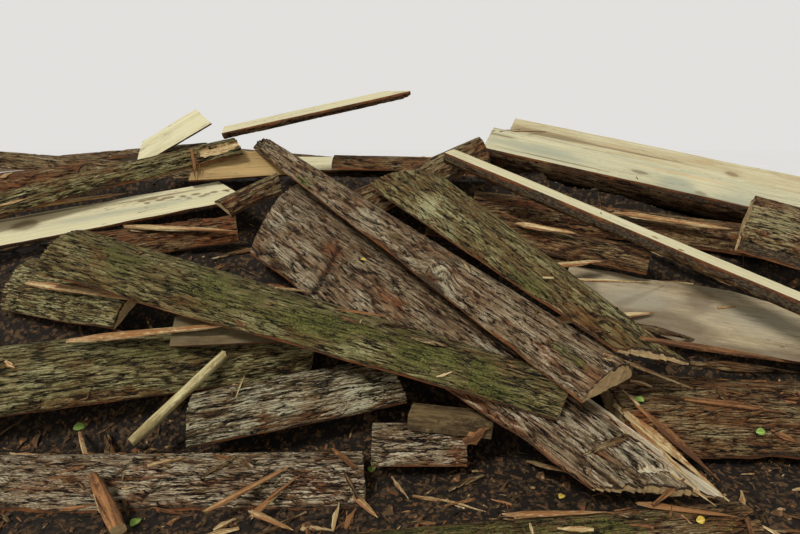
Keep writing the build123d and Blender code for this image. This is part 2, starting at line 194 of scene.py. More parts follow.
class Slab:
    """One slab's shape: a flat sawn face, a round bark side, two cut ends and a taper."""

    def __init__(self, points, faces):
        a, b, c = (points[faces[:, k]] for k in range(3))
        normal = np.cross(b - a, c - a)
        area = np.linalg.norm(normal, axis=1)
        smallest_face = 1e-12
        keep = area > smallest_face
        normal, area, faces = normal[keep] / area[keep][:, None], area[keep], faces[keep]
        offset = (normal * points[faces[:, 0]]).sum(axis=1)
        key = np.column_stack([np.round(normal * 200), np.round(offset * 1000)])
        group = np.unique(key, axis=0, return_inverse=True)[1].reshape(-1)
        flat_group = group == np.bincount(group, area).argmax()
        self.up = -unit((normal * area[:, None])[flat_group].sum(axis=0))
        flat = points[np.unique(faces[flat_group])]
        self.find_axes(flat)
        heights = (points - self.origin) @ self.up
        x, y, z = self.local(points[np.argmax(heights)])
        half = self.half + self.spread * x
        centre = (half**2 - y**2 - z**2) / (2 * z)
        self.fullness = (math.sqrt(half**2 + centre**2) - centre) / half
        self.length = self.ends[1][0] - self.ends[0][0]
        self.tree = BVHTree.FromPolygons([Vector(p) for p in points], faces.tolist())

    def find_axes(self, flat):
        """The slab's middle line, its sides and its ends, from the corners of its flat face."""
        spread = np.linalg.svd(flat - flat.mean(axis=0), full_matrices=False)[2]
        long_way = spread[0] if spread[0][0] > 0 else -spread[0]
        wide_way = unit(np.cross(self.up, long_way))
        wide_way = wide_way if wide_way[1] > 0 else -wide_way
        x, y = (flat - flat.mean(axis=0)) @ long_way, (flat - flat.mean(axis=0)) @ wide_way
        x, y = x / np.abs(x).max(), y / np.abs(y).max()
        corners = [flat[np.argmax(sx * x + sy * y)] for sx in (-1, 1) for sy in (-1, 1)]
        near_low, near_high, far_low, far_high = corners
        self.along = unit(unit(far_low - near_low) + unit(far_high - near_high))
        self.across = unit(np.cross(self.up, self.along))
        self.across = self.across if self.across[1] > 0 else -self.across
        self.origin = sum(corners) / 4
        low = [self.local(c) for c in (near_low, far_low)]
        high = [self.local(c) for c in (near_high, far_high)]
        slopes = [(side[1][1] - side[0][1]) / (side[1][0] - side[0][0]) for side in (low, high)]
        starts = [side[0][1] - slope * side[0][0] for side, slope in zip((low, high), slopes)]
        self.half, self.spread = (starts[1] - starts[0]) / 2, (slopes[1] - slopes[0]) / 2
        shift = sum(starts) / 2
        self.origin = self.origin + self.across * shift
        self.ends = []
        for a, b in zip(low, high):
            lean = (b[0] - a[0]) / (b[1] - a[1])
            self.ends.append((a[0] - lean * (a[1] - shift), lean))

    def local(self, point):
        """A point on the slab's own axes."""
        away = point - self.origin
        return away @ self.along, away @ self.across, away @ self.up

    def end(self, which, q):
        """How far along an end lies, at q across, which runs from -1 to 1."""
        place, lean = self.ends[which]
        return (place + lean * q * self.half) / (1 - lean * q * self.spread)

    def arc(self, x):
        """Half width, radius and depth of the round's centre, at a distance along."""
        half = self.half + self.spread * x
        thick = self.fullness * half
        radius = (half**2 + thick**2) / (2 * thick)
        return half, radius, radius - thick

    def world(self, x, y, z):
        """Points in the model from the slab's own axes."""
        return self.origin + np.outer(x, self.along) + np.outer(y, self.across) + np.outer(z, self.up)

    def seen(self, px, py):
        """Where the camera sees the slab through a place in its picture: along, and round the bark."""
        line = Vector(sight(px, py))
        hit = self.tree.ray_cast(Vector(eye), line)[0]
        if hit is None:
            away = (Vector(self.origin) - Vector(eye)).length
            hit = self.tree.find_nearest(Vector(eye) + line * away)[0]
        x, y, _ = self.local(np.array(hit))
        radius = self.arc(x)[1]
        return x, radius * math.asin(max(-1, min(1, y / radius)))


def spots(slab, along, around, places):
    """A mask that is strongest in the middle of each place and fades out; a pixel tells the place."""
    mask = np.zeros(along.shape)
    for px, py, long, wide, strength in places:
        x, v = slab.seen(px, py)
        mask = mask + strength * np.exp(-((along - x) / long) ** 2 - ((around - v) / wide) ** 2)
    return mask


def strokes(slab, along, around, lines):
    """A mask along lines through pixels; each line is its width and its places."""
    mask = np.zeros(along.shape)
    for width, places in lines:
        seen = [slab.seen(px, py) for px, py in places]
        for (x0, v0), (x1, v1) in zip(seen, seen[1:]):
            span = max((x1 - x0) ** 2 + (v1 - v0) ** 2, 1e-9)
            t = np.clip(((along - x0) * (x1 - x0) + (around - v0) * (v1 - v0)) / span, 0, 1)
            away = np.hypot(along - x0 - t * (x1 - x0), around - v0 - t * (v1 - v0))
            mask = np.maximum(mask, 1 - away / width)
    return mask


# Cutting a slab as a fine mesh

def bark_relief(along, around, ridge, seed):
    """Height of the bark from 0 in a furrow to 1 on a ridge, and a tone for each ridge."""
    length, width = ridge
    x = along / length + 0.2 * swell(along / 0.4, around / 0.12, seed + 1)
    y = (around / width + 0.55 * swell(along / (0.9 * length), around / (4 * width), seed + 2)
         + 0.15 * swell(along / (0.4 * length), around / (1.5 * width), seed + 3))
    ridges = ramp(np.abs(coarse(x, 1.15 * y, seed, 2)), 0.0, 0.16)
    slits = ramp(np.abs(coarse(1.7 * x + 5, 1.9 * y, seed + 5, 2)), 0.0, 0.13)
    cross = along / 0.036 + 1.8 * swell(along / 0.12, around / (0.7 * width), seed + 11)
    breaks = 1 - ramp(np.abs(cross - np.round(cross)), 0.03, 0.18)
    breaks = breaks * ramp(swell(along / 0.16, around / 0.05, seed + 12), -0.1, 0.5)
    grit = coarse(along / 0.016, around / 0.007, seed + 9, 3)
    relief = (ridges * (0.7 + 0.3 * slits) * (1 - 0.45 * breaks) + 0.03
              + 0.3 * grit * (0.35 + 0.65 * ridges))
    return np.clip(relief, 0, 1), hills(1.3 * x, 0.9 * y, seed + 13, 3)


def torn_loss(around, amount, seed):
    """How much wood is missing from a broken end, as splinters of uneven length."""
    splinter_width, notch_width, sawn_up_to = 0.012, 0.07, 0.008
    spikes = np.abs(swell(around / splinter_width, 0.5, seed)) ** 0.7
    broad = hills(around / notch_width, 3.5, seed + 4, 2)
    return amount * (0.55 * broad + (0.45 if amount > sawn_up_to else 0.1) * spikes)


class Shape:
    """Points with their stored values, and faces with the kind of surface each one is."""

    def __init__(self):
        self.places, self.values, self.growth, self.map = [], [], [], []
        self.faces, self.kinds, self.count = [], [], 0

    def points(self, places, relief, tone, depth, growth, along, around, across, up):
        """Adds points and returns their numbers; single values are spread over all of them."""
        size = len(places)
        flat = lambda v: np.broadcast_to(np.asarray(v, float).reshape(-1), (size,))
        self.places.append(places)
        self.values.append(np.column_stack([flat(relief), flat(tone), flat(depth)]))
        self.growth.append(np.broadcast_to(growth, (size, 3)))
        self.map.append(np.column_stack([flat(along), flat(around), flat(across), flat(up)]))
        self.count += size
        return np.arange(self.count - size, self.count)

    def quads(self, corners, kind):
        """Adds four-sided faces from an array of corner numbers."""
        corners = corners.reshape(-1, 4)
        self.faces += corners.tolist()
        self.kinds += np.broadcast_to(kind, (len(corners),)).tolist()

    def face(self, corners, kind):
        self.faces.append([int(c) for c in corners])
        self.kinds.append(kind)

    def rings(self, ids, kind, end_kind):
        """Joins closed rings of point numbers along, and shuts both ends."""
        self.quads(ring_quads(ids), kind)
        self.face(ids[0][::-1], end_kind)
        self.face(ids[-1], end_kind)

    def mesh(self, name):
        """The finished mesh, with faces outward, its map in metres and its stored values."""
        made = bpy.data.meshes.new(name)
        places, growth = np.concatenate(self.places), np.concatenate(self.growth)
        values, measured = np.concatenate(self.values), np.concatenate(self.map)
        made.from_pydata(places.tolist(), [], self.faces)
        kinds = np.array(self.kinds, np.int32)
        made.polygons.foreach_set("material_index", kinds)
        made.polygons.foreach_set("use_smooth", np.ones(len(kinds), bool))
        corner = np.empty(len(made.loops), int)
        made.loops.foreach_get("vertex_index", corner)
        sizes = np.empty(len(made.polygons), int)
        made.polygons.foreach_get("loop_total", sizes)
        kind = np.repeat(kinds, sizes)
        along, around, across, up = (measured[corner, k] for k in range(4))
        first = np.where(kind == end_part, across, along)
        second = np.where((kind == bark_part) | (kind == bare_part), around,
                          np.where(kind == sawn_part, across, up))
        layer = made.uv_layers.new(name="grain_map")
        layer.data.foreach_set("uv", np.column_stack([first, second]).astype(np.float32).reshape(-1))
        for k, key in enumerate(("relief", "tone", "depth")):
            store(made, key, values[:, k])
        stored = made.attributes.new("growth", "FLOAT_COLOR", "POINT")
        full = np.column_stack([growth, np.ones(len(growth))])
        stored.data.foreach_set("color", full.astype(np.float32).reshape(-1))
        made.update()
        face_outward(made)
        made.set_sharp_from_angle(angle=sharp_edge)
        return made


def rim_heights(slab, x, look, side, seed):
    """How far out the round reaches along one side, in half widths: less where the bark's edge is
    thick or wanders in."""
    half, radius, centre = slab.arc(x)
    low, high = look["rim"]
    shift = slab_shift * seed
    rim = low + (high - low) * hills(x / 0.16 + shift, side * 5.0, seed + 40, 3)
    rim = np.minimum(rim, 0.6 * slab.fullness * half)
    wave = look["wave"] * ramp(coarse(x / 0.28 + shift, side * 2.0, seed + 41, 3), -0.1, 0.6)
    return (np.sqrt(radius**2 - (rim + centre) ** 2) - wave) / half


def slab_grid(slab, look, seed):
    """Places over a slab's bark: along, across and round it, its height and its round's depth."""
    fewest_rows, fewest_cols, widest = 10, 8, math.radians(86)
    rows = max(fewest_rows, round(slab.length / look["step"][0]))
    radius, centre = slab.arc(0.0)[1:]
    reach = min(math.atan2(slab.half, centre), widest)
    cols = max(fewest_cols, round(2 * reach * radius / look["step"][1]))
    u = np.linspace(0, 1, rows + 1)[:, None]
    q = (np.sin(np.linspace(-reach, reach, cols + 1)) / math.sin(reach))[None, :]
    x = slab.end(0, q) * (1 - u) + slab.end(1, q) * u
    for side in (-1, 1):
        most = rim_heights(slab, x[:, :1] if side < 0 else x[:, -1:], look, side, seed)
        q = np.where(q * side > 0, q * most, q)
    x = slab.end(0, q) * (1 - u) + slab.end(1, q) * u
    rest = q * slab.half + slab_shift * seed
    x = x + torn_loss(rest, look["torn"][0], seed + 50) * (1 - u)
    x = x - torn_loss(rest, look["torn"][1], seed + 51) * u
    half, radius, centre = slab.arc(x)
    y = q * half
    around = radius * np.arcsin(np.clip(y / radius, -1, 1))
    full = np.sqrt(np.maximum(radius**2 - y**2, 0)) - centre
    return x, y, around, full, centre + 0 * x


def marks(slab, along, across, look, cover, kinds):
    """How much of each kind of mark a place has: a share all over, and more at its spots."""
    return [share + spots(slab, along, across, look[kind]) for share, kind in zip(look[cover], kinds)]


def bark_side(slab, look, seed, x, around, full):
    """The bark's height over the sawn face, its relief and tone, its marks, and where it is off."""
    shift = slab_shift * seed
    relief, tone = bark_relief(x + shift, around + shift, look["ridge"], seed)
    rough = ramp(spots(slab, x, around, look["smooth"]), 0.2, 0.9)
    relief = relief * (1 - 0.6 * rough) + 0.5 * rough
    cracks = strokes(slab, x, around, look["cracks"])
    cracks = ramp(cracks + 0.3 * coarse(x / 0.02, around / 0.02, seed + 65, 3), 0.1, 0.7)
    relief = relief * (1 - 0.9 * cracks)
    fibre = hills((x + shift) / 0.16, around / 0.006, seed + 60, 3)
    bare = strokes(slab, x, around, look["bare"])
    bare = ramp(bare + 0.45 * coarse(x / 0.12 + shift, around / 0.012, seed + 66, 3), 0.25, 0.5)
    moss, lichen, warm = marks(slab, x, around, look, "cover", ("moss", "lichen", "warm"))
    moss = moss * ramp(coarse(x / 0.07 + shift, around / 0.05, seed + 62, 4) + 0.5 * moss, -0.3, 0.5)
    growth = np.clip(np.stack([moss, lichen, warm], axis=-1), 0, 1)
    hollow = look["sag"] * hills(x / 0.22 + shift, around / 0.12, seed + 61, 2)
    depth = look["depth"] * (1 - relief) * (1 - 0.4 * growth[..., 0])
    cut = (1 - bare) * depth + bare * (look["bark_thick"] + 0.004 * (1 - fibre)) + hollow
    height = np.maximum(full - cut, np.minimum(0.004, 0.5 * full)) + knot_rise(slab, x, around, look)
    return height, relief, tone, growth, fibre, bare


def sawn_side(slab, look, seed, x, y, bark_z):
    """The sawn face's height and its marks."""
    slivers = ramp(0.3 * coarse(x / 0.1, y / 0.01, seed + 67, 3), 0.2, 0.5)
    height = look["dish"] * hills(x / 0.5 + slab_shift * seed, y / 0.1, seed + 64, 3) + slivers * 0.012
    stains = marks(slab, x, y, look, "sawn_cover", ("stains", "weather", "glow"))
    return np.minimum(height, 0.55 * bark_z), np.clip(np.stack(stains, axis=-1), 0, 1)


def cut_slab(shape, slab, look, seed):
    """Adds one slab to a shape: rings along it, then its two ends."""
    x, y, around, full, centre = slab_grid(slab, look, seed)
    rows, cols = x.shape[0] - 1, x.shape[1] - 1
    shift = slab_shift * seed
    bark_z, relief, tone, growth, fibre, bare = bark_side(slab, look, seed, x, around, full)
    sawn_z, sawn_growth = sawn_side(slab, look, seed, x, y, bark_z)

    def add(rows_, cols_, z, grow, rel):
        """Adds the points of some rows and columns at a height."""
        part = (rows_, cols_)
        xs, ys = x[part].reshape(-1), y[part].reshape(-1)
        return shape.points(slab.world(xs, ys, z[part].reshape(-1)), rel[part], tone[part], z[part],
                            grow[part].reshape(-1, 3), xs + shift, around[part] + shift, ys,
                            z[part] + centre[part])

    every = slice(None)
    bark_ids = add(every, every, bark_z, growth, relief).reshape(rows + 1, cols + 1)
    fine = look["fine_sawn"]
    picked = np.arange(cols + 1) if fine else np.array([0, cols])
    sawn_ids = add(every, picked, sawn_z, sawn_growth, fibre).reshape(rows + 1, -1)
    between = [sawn_z + share * (bark_z - sawn_z) for share in (0.34, 0.67)]
    sides = [[add(every, slice(edge, edge + 1), z, growth, relief).reshape(-1) for z in between]
             for edge in (0, cols)]
    rings = np.column_stack([sawn_ids[:, ::-1], *sides[0], bark_ids, *sides[1][::-1]])
    kind = np.full((rows, rings.shape[1]), rim_part)
    sawn_count = sawn_ids.shape[1]
    kind[:, :sawn_count - 1] = sawn_part
    over = (bare[:-1, :-1] + bare[1:, 1:]) / 2 > 0.5
    kind[:, sawn_count + 2:sawn_count + 2 + cols] = np.where(over, bare_part, bark_part)
    keep = np.ones(kind.shape, bool)
    if not fine:
        keep[0, 0] = keep[-1, 0] = False
    shape.quads(ring_quads(rings)[keep], kind[keep])
    for which, row in ((0, 0), (1, rows)):
        close_end(shape, add, look, (x, sawn_z, bark_z, growth, relief), which, row, cols,
                  sawn_ids, bark_ids, sides, seed)


def close_end(shape, add, look, fields, which, row, cols, sawn_ids, bark_ids, sides, seed):
    """Closes one end of a slab: two bands of end grain under a band of bark."""
    x, sawn_z, bark_z, growth, relief = fields
    inward = 1 if which == 0 else -1
    inner = slice(1, cols)
    grid = np.zeros((4, cols + 1), int)
    grid[3] = bark_ids[row]
    if look["fine_sawn"]:
        grid[0] = sawn_ids[row]
    else:
        grid[0, 0], grid[0, -1] = sawn_ids[row, 0], sawn_ids[row, -1]
        grid[0, inner] = add(row, inner, sawn_z, growth, relief)
    share = np.clip(1 - look["bark_thick"] / np.maximum(bark_z - sawn_z, 0.001), 0.55, 0.93)
    for level in (1, 2):
        z = sawn_z + (bark_z - sawn_z) * share * (0.5 if level == 1 else 1.0)
        rough = look["end_rough"] * (chance(np.arange(cols + 1) // 2, level, seed + 80 + which) - 0.3)
        x[row, inner] += inward * rough[inner]
        grid[level, inner] = add(row, inner, z, growth, relief)
        x[row, inner] -= inward * rough[inner]
        grid[level, 0], grid[level, -1] = sides[0][level - 1][row], sides[1][level - 1][row]
    corners = np.stack([grid[:-1, :-1], grid[:-1, 1:], grid[1:, 1:], grid[1:, :-1]], axis=-1)
    shape.quads(corners[:2], end_part)
    shape.quads(corners[2], rim_part)
    if not look["fine_sawn"]:
        next_row = sawn_ids[1 if row == 0 else row - 1]
        shape.face(list(grid[0]) + [next_row[-1], next_row[0]], sawn_part)


def knot_rise(slab, x, around, look):
    """Raised knots with a sunken ringed scar."""
    rise = np.zeros(x.shape)
    for px, py, size, height in look["knots"]:
        kx, kv = slab.seen(px, py)
        away = np.hypot((x - kx) / 1.5, around - kv) / size
        rings = 0.12 * np.cos(away * 16) * ramp(1 - away, 0, 0.5)
        rise = rise + height * (ramp(1.25 - away, 0, 0.9) - 0.75 * ramp(0.42 - away, 0, 0.3) + rings)
    return rise


plain_look = dict(step=(0.016, 0.008), ridge=(0.14, 0.020), depth=0.008, bark_thick=0.012,
                  rim=(0.008, 0.016), wave=0.008, torn=(0.004, 0.004), sag=0.004, dish=0.003,
                  end_rough=0.004, cover=(0.05, 0.15, 0.1), sawn_cover=(0.1, 0.1, 0.1),
                  bark="umber_bark", sawn="golden_sawn_wood", torn_wood="bare_wood",
                  **{key: [] for key in ("smooth", "cracks", "bare", "moss", "lichen", "warm",
                                         "stains", "weather", "glow", "knots")})


# Cutting a squared stick, strip or splinter

def cut_stick(shape, points, look, seed):
    """Adds a fibrous split stick in the place of a long box: rings of points, torn ends."""
    middle = points.mean(axis=0)
    spread = np.linalg.svd(points - middle, full_matrices=False)[2]
    along = spread[0] if spread[0][0] > 0 else -spread[0]
    reach = (points - middle) @ along
    end_depth = 0.04 * np.ptp(reach)
    ends = [points[sign * reach > (sign * reach).max() - end_depth] for sign in (-1, 1)]
    near, far = (end.mean(axis=0) for end in ends)
    sides = [end - end.mean(axis=0) for end in ends]
    across = spread[1]
    up = np.cross(along, across)
    if up[2] < 0:
        up, across = -up, -across
    half_wide = [np.abs(side @ across).max() for side in sides]
    half_high = [np.abs(side @ up).max() for side in sides]
    length = np.linalg.norm(far - near)
    rows = max(8, round(length / look["step"]))
    count = look["sides"]
    turn = turns(count)
    u = np.linspace(0, 1, rows + 1)[:, None]
    square = np.maximum(np.abs(np.cos(turn)), np.abs(np.sin(turn)))
    corner = 1 / square * 0.94
    shift = stick_shift * seed
    x = u * length
    for which, amount in enumerate(look["torn"]):
        loss = amount * (0.3 + 0.7 * chance(np.arange(count), which, seed + 5))[None, :]
        x = x + (loss * (1 - u) if which == 0 else -loss * u)
    narrow = 1 - look["points"][0] * ramp(1 - u, 0.8, 1) - look["points"][1] * ramp(u, 0.8, 1)
    rough = 1 - look["sag"] * hills(x / 0.09 + shift, turn * 1.3, seed, 3)
    wide = (half_wide[0] * (1 - u) + half_wide[1] * u) * narrow * rough
    high = (half_high[0] * (1 - u) + half_high[1] * u) * narrow * rough
    y, z = wide * corner * np.cos(turn), high * corner * np.sin(turn)
    places = near + x[..., None] * along + y[..., None] * across + z[..., None] * up
    tone = chance(np.arange(count), 3, seed)[None, :] + 0 * x
    relief = hills(x / 0.1 + shift, turn * 3, seed + 2, 3)
    growth = np.zeros(x.shape + (3,)) + np.array(look["cover"])
    side = turn * 0.01 + 0 * x
    ids = shape.points(places.reshape(-1, 3), relief, tone, z, growth.reshape(-1, 3), x + shift,
                       side + shift, y, z + 0.1).reshape(rows + 1, -1)
    facing = np.sin(turn + math.pi / count) < look["bark_below"]
    kind = np.where(facing, bark_part, bare_part)
    shape.rings(ids, np.tile(kind[0], rows), end_part)


plain_stick = dict(sides=12, torn=(0.012, 0.012), cover=(0, 0.1, 0.3), bark_below=-2,
                   bark="brown_bark", sawn="split_wood")


# Materials

def tint(red, green, blue):
    """A colour written as on a paint card, 0 to 255, as the light it stands for."""
    light = [c / 255 for c in (red, green, blue)]
    return tuple(c / 12.92 if c <= 0.04045 else ((c + 0.055) / 1.055) ** 2.4 for c in light) + (1.0,)


class Value:
    """An output of a node; sums and products with it become math nodes of its tree."""

    def __init__(self, nodes, output):
        self.nodes, self.output = nodes, output

    def maths(self, operation, second=0.0):
        return self.nodes.out("ShaderNodeMath", 0, {0: self, 1: second}, operation=operation)

    def __add__(self, other):
        return self.maths("ADD", other)

    def __sub__(self, other):
        return self.maths("SUBTRACT", other)

    def __mul__(self, other):
        return self.maths("MULTIPLY", other)

    def __truediv__(self, other):
        return self.maths("DIVIDE", other)

    def __abs__(self):
        return self.maths("ABSOLUTE")

    def off(self, share):
        """How far the value stands off 0.5, times a share."""
        return (self - 0.5) * share

    def span(self, low, high, to_low=0.0, to_high=1.0):
        """Spreads the value's range from low to high smoothly over another range."""
        return self.nodes.out("ShaderNodeMapRange", "Result",
                              {"Value": self, "From Min": low, "From Max": high, "To Min": to_low,
                               "To Max": to_high}, interpolation_type="SMOOTHSTEP")


class Nodes:
    """A node tree, with short ways to add to it."""

    def __init__(self, tree, inputs=(), outputs=()):
        """An input or output is a pair: its name and its kind of socket."""
        self.tree = tree
        for way, sockets in (("INPUT", inputs), ("OUTPUT", outputs)):
            for key, kind in sockets:
                tree.interface.new_socket(key, in_out=way, socket_type="NodeSocket" + kind)
        self.given = tree.nodes.new("NodeGroupInput").outputs if inputs else {}

    def __getitem__(self, key):
        """The value that comes in by an input of the tree."""
        return Value(self, self.given[key])

    def add(self, kind, inputs=(), **settings):
        """Adds a node; an input is a number, a colour or the value of another node."""
        made = self.tree.nodes.new(kind)
        for key, value in settings.items():
            setattr(made, key, value)
        for key, value in dict(inputs).items():
            if isinstance(value, Value):
                self.tree.links.new(value.output, made.inputs[key])
            else:
                made.inputs[key].default_value = value
        return made

    def out(self, kind, output, inputs=(), **settings):
        """Adds a node and gives the value of one of its outputs."""
        return Value(self, self.add(kind, inputs, **settings).outputs[output])

    def mix(self, share, first, second, blend="MIX"):
        return self.out("ShaderNodeMix", 2, {0: share, 6: first, 7: second}, data_type="RGBA",
                        blend_type=blend)

    def stretched(self, vector, scale, location=(0, 0, 0)):
        return self.out("ShaderNodeMapping", "Vector",
                        {"Vector": vector, "Scale": scale, "Location": location})

    def noise(self, vector, scale, detail, roughness, distortion=0.0, location=(0, 0, 0)):
        """Noise with its own stretch; scale is its number of lumps to a metre each way."""
        return self.out("ShaderNodeTexNoise", "Fac",
                        {"Vector": self.stretched(vector, scale, location), "Scale": 1.0,
                         "Detail": detail, "Roughness": roughness, "Distortion": distortion})


class Surface(Nodes):
    """A node group that puts out a surface's colour, roughness and height."""

    def __init__(self, paint, colours, numbers):
        super().__init__(bpy.data.node_groups.new(paint.__name__, "ShaderNodeTree"),
                         [(key, "Color") for key in colours] + [(key, "Float") for key in numbers],
                         [("Colour", "Color"), ("Roughness", "Float"), ("Height", "Float")])
        self.place = self.out("ShaderNodeUVMap", "UV", uv_map="grain_map")
        colour, roughness, height = paint(self)
        self.add("NodeGroupOutput", {"Colour": colour, "Roughness": roughness, "Height": height})

    def grain(self, scale, *details):
        """Noise along and across the grain, by the mesh's map."""
        return self.noise(self.place, scale, *details)

    def stored(self, key, output="Fac"):
        return self.out("ShaderNodeAttribute", output, attribute_name=key, attribute_type="GEOMETRY")

    def growth(self):
        """The three marks stored on a mesh: moss, lichen and warmth, or stain, weather and glow."""
        parts = self.add("ShaderNodeSeparateColor", {"Color": self.stored("growth", "Color")}).outputs
        return [Value(self, parts[k]) for k in range(3)]

    def axes(self):
        """The place on the mesh's map, along and across."""
        parts = self.add("ShaderNodeSeparateXYZ", {"Vector": self.place}).outputs
        return [Value(self, parts[key]) for key in ("X", "Y")]


def bark_surface(s):
    """Bark: fibrous brown and tan ridges with painted shade in the furrows and slits between them, red
    flanks, pale scale and moss.
    """
    relief, tone = s.stored("relief"), s.stored("tone")
    moss, lichen, warm = s.growth()
    wide_slits = abs(s.grain((5, 62, 1), 6, 0.55, 0.25, (2, 5, 0)) - 0.5).span(0.0, 0.034)
    fine_slits = abs(s.grain((12, 190, 1), 4, 0.55, 0.25, (6, 1, 0)) - 0.5).span(0.0, 0.035)
    fibres = s.grain((26, 240, 1), 6, 0.76, 0.3)
    specks = s.grain((130, 300, 1), 4, 0.8)
    blotch = s.grain((6, 13, 1), 5, 0.6, 0.3)
    patch = s.grain((26, 70, 1), 6, 0.75, 0.4, (3, 9, 0))
    # The colour follows the relief: low places take the near-black furrow colour, which is painted
    # shade in the furrows; the ridges take the brown.
    body = relief.span(0, 0.8, 0.24, 1.0) * wide_slits.span(0, 1, 0.12, 1.0)
    level = body * fine_slits.span(0, 1, 0.5, 1.0) + fibres.off(1.2) + specks.off(0.4)
    base = s.mix(level.span(0.12, 0.52), s["Furrow"], s["Ridge"])
    tan = level + tone.off(0.5) + blotch.off(0.7) + patch.off(0.9)
    base = s.mix(tan.span(0.6, 1.02, 0.0, 0.85), base, s["Plate"])
    flank = patch.off(2.2) + warm * 0.6 + fibres.off(1.8) + blotch.off(-1.2) + specks.off(0.8)
    base = s.mix(flank.span(0.05, 0.5, 0.0, 0.75), base, s["Rubbed"])
    scale = tan + specks.off(0.8) + lichen * 0.5 - 0.06
    base = s.mix(scale.span(0.96, 1.3, 0.0, 0.85), base, s["Lichen"])
    bloom = specks + blotch.off(0.9) + patch.off(0.6) + lichen * 0.28
    base = s.mix(bloom.span(0.66, 0.78, 0.0, 0.5), base, s.mix(0.3, s["Lichen"], s["Moss"]))
    velvet = s.grain((110, 150, 1), 5, 0.8, 0.0, (8, 2, 0))
    green = moss * 0.85 + velvet.off(3.2) + patch.off(1.8) + specks.off(1.6)
    cover = green.span(0.4, 0.66, 0.0, 0.92)
    living = s.mix((velvet + specks.off(0.9)).span(0.4, 0.64), s.mix(0.6, s["Moss"], tint(34, 34, 12)),
                   s.mix(0.5, s["Moss"], tint(164, 158, 86)))
    base = s.mix(cover, base, living)
    # Painted shade: the slits and the low places are darkened by multiplying the colour.
    slits = wide_slits.span(0, 1, 0.36, 1.0) * fine_slits.span(0, 1, 0.74, 1.0)
    dark = level.span(0.0, 0.34, 0.3, 1.0) * slits
    base = s.mix(1.0, base, s.out("ShaderNodeCombineColor", 0, {0: dark, 1: dark, 2: dark}), "MULTIPLY")
    high = wide_slits * 0.9 + fine_slits * 0.45 + fibres * 0.8 + specks * 0.5 + cover * velvet * 0.8
    return base, blotch.span(0.3, 0.7, 0.82, 0.97), high


def sawn_surface(s):
    """Sawn wood: lines of grain, saw marks, stains, a grey film, warm streaks, specks and checks."""
    stained, weathered, warm = s.growth()
    warp = s.grain((0.8, 5, 1), 3, 0.5)
    along, across = s.axes()
    lines = s.out("ShaderNodeCombineXYZ", 0, {"X": along * 0.9, "Y": (across + warp * 0.09) * 120.0})
    rings = s.out("ShaderNodeTexNoise", "Fac",
                  {"Vector": lines, "Scale": 1.0, "Detail": 2.0, "Roughness": 0.5})
    fibres = s.grain((14, 520, 1), 5, 0.7)
    base = s.mix(rings.span(0.38, 0.66) * s["Grain"], s["Early"], s["Late"])
    base = s.mix(fibres.span(0.35, 0.7, 0.0, 0.45), base, s["Late"])
    patch = s.grain((2.2, 11, 1), 6, 0.62, 0.5)
    dirt = s.grain((16, 90, 1), 6, 0.75, 0.3, (7, 3, 0))
    stain = stained * 0.8 + patch * 0.45 + dirt * 0.32
    base = s.mix(stain.span(0.47, 0.8, 0.0, 0.85), base, s["Stain"])
    film = s.grain((3.5, 15, 1), 6, 0.7, 0.2, (5, 1, 0))
    base = s.mix((weathered * 0.8 + film * 0.6).span(0.48, 0.85, 0.0, 0.8), base, s["Grey"])
    base = s.mix((warm * 0.8 + patch * 0.5).span(0.5, 0.9, 0.0, 0.8), base, s["Glow"])
    specks = s.out("ShaderNodeTexVoronoi", "Distance",
                   {"Vector": s.stretched(s.place, (9, 26, 1)), "Scale": 1.0}, feature="F1")
    base = s.mix(specks.span(0.05, 0.13, 0.55, 0.0), base, s["Stain"])
    check = abs(s.grain((1.5, 44, 1), 5, 0.6, 0.3, (3, 8, 0)) - 0.5).span(0.003, 0.012, 1.0, 0.0)
    check = check * s.grain((2.4, 8, 1), 4, 0.6, 0.0, (1, 7, 0)).span(0.5, 0.58)
    base = s.mix(check * 0.75, base, s.mix(0.6, s["Stain"], tint(30, 22, 14)))
    saw = s.out("ShaderNodeTexWave", "Fac",
                {"Vector": s.stretched(s.place, (1, 0.25, 1)), "Scale": 42.0, "Distortion": 1.2,
                 "Detail": 2.0, "Detail Scale": 3.0}, wave_type="BANDS", bands_direction="X")
    return base, patch.span(0.3, 0.7, 0.62, 0.85), fibres * 0.5 + saw * 0.35 + rings * 0.3


def inner_bark_surface(s):
    """Inner bark: layers from the pale wood edge through orange and red to the dark crust."""
    layers = s.grain((9, 150, 1), 6, 0.75, 0.8)
    ragged = s.grain((34, 90, 1), 5, 0.75, 0.0, (2, 6, 0))
    crumbly = s.grain((55, 150, 1), 6, 0.8, 0.0, (4, 2, 0))
    crust = s.mix(crumbly.span(0.44, 0.64), s["Crust"], tint(112, 96, 70))
    crust = s.mix(crumbly.span(0.62, 0.7, 0.0, 0.6), crust, tint(168, 160, 134))
    stretch = s.grain((4.5, 9, 1), 4, 0.65, 0.0, (9, 1, 0))
    tall = s.stored("depth") / s["Band"] + ragged.off(1.5) + (stretch - 0.38) * 3.6
    base = s.mix(tall.span(0.0, 0.3), s["Pale"], s["Orange"])
    base = s.mix(layers.span(0.42, 0.6, 0.0, 0.8), base, s["Red"])
    base = s.mix(tall.span(0.4, 1.1), base, s.mix(ragged.span(0.4, 0.6), crust, s["Red"]))
    base = s.mix(tall.span(0.9, 1.6), base, crust)
    return base, ragged.span(0.3, 0.7, 0.75, 0.95), layers * 0.9 + ragged * 0.6 + crumbly * 1.2


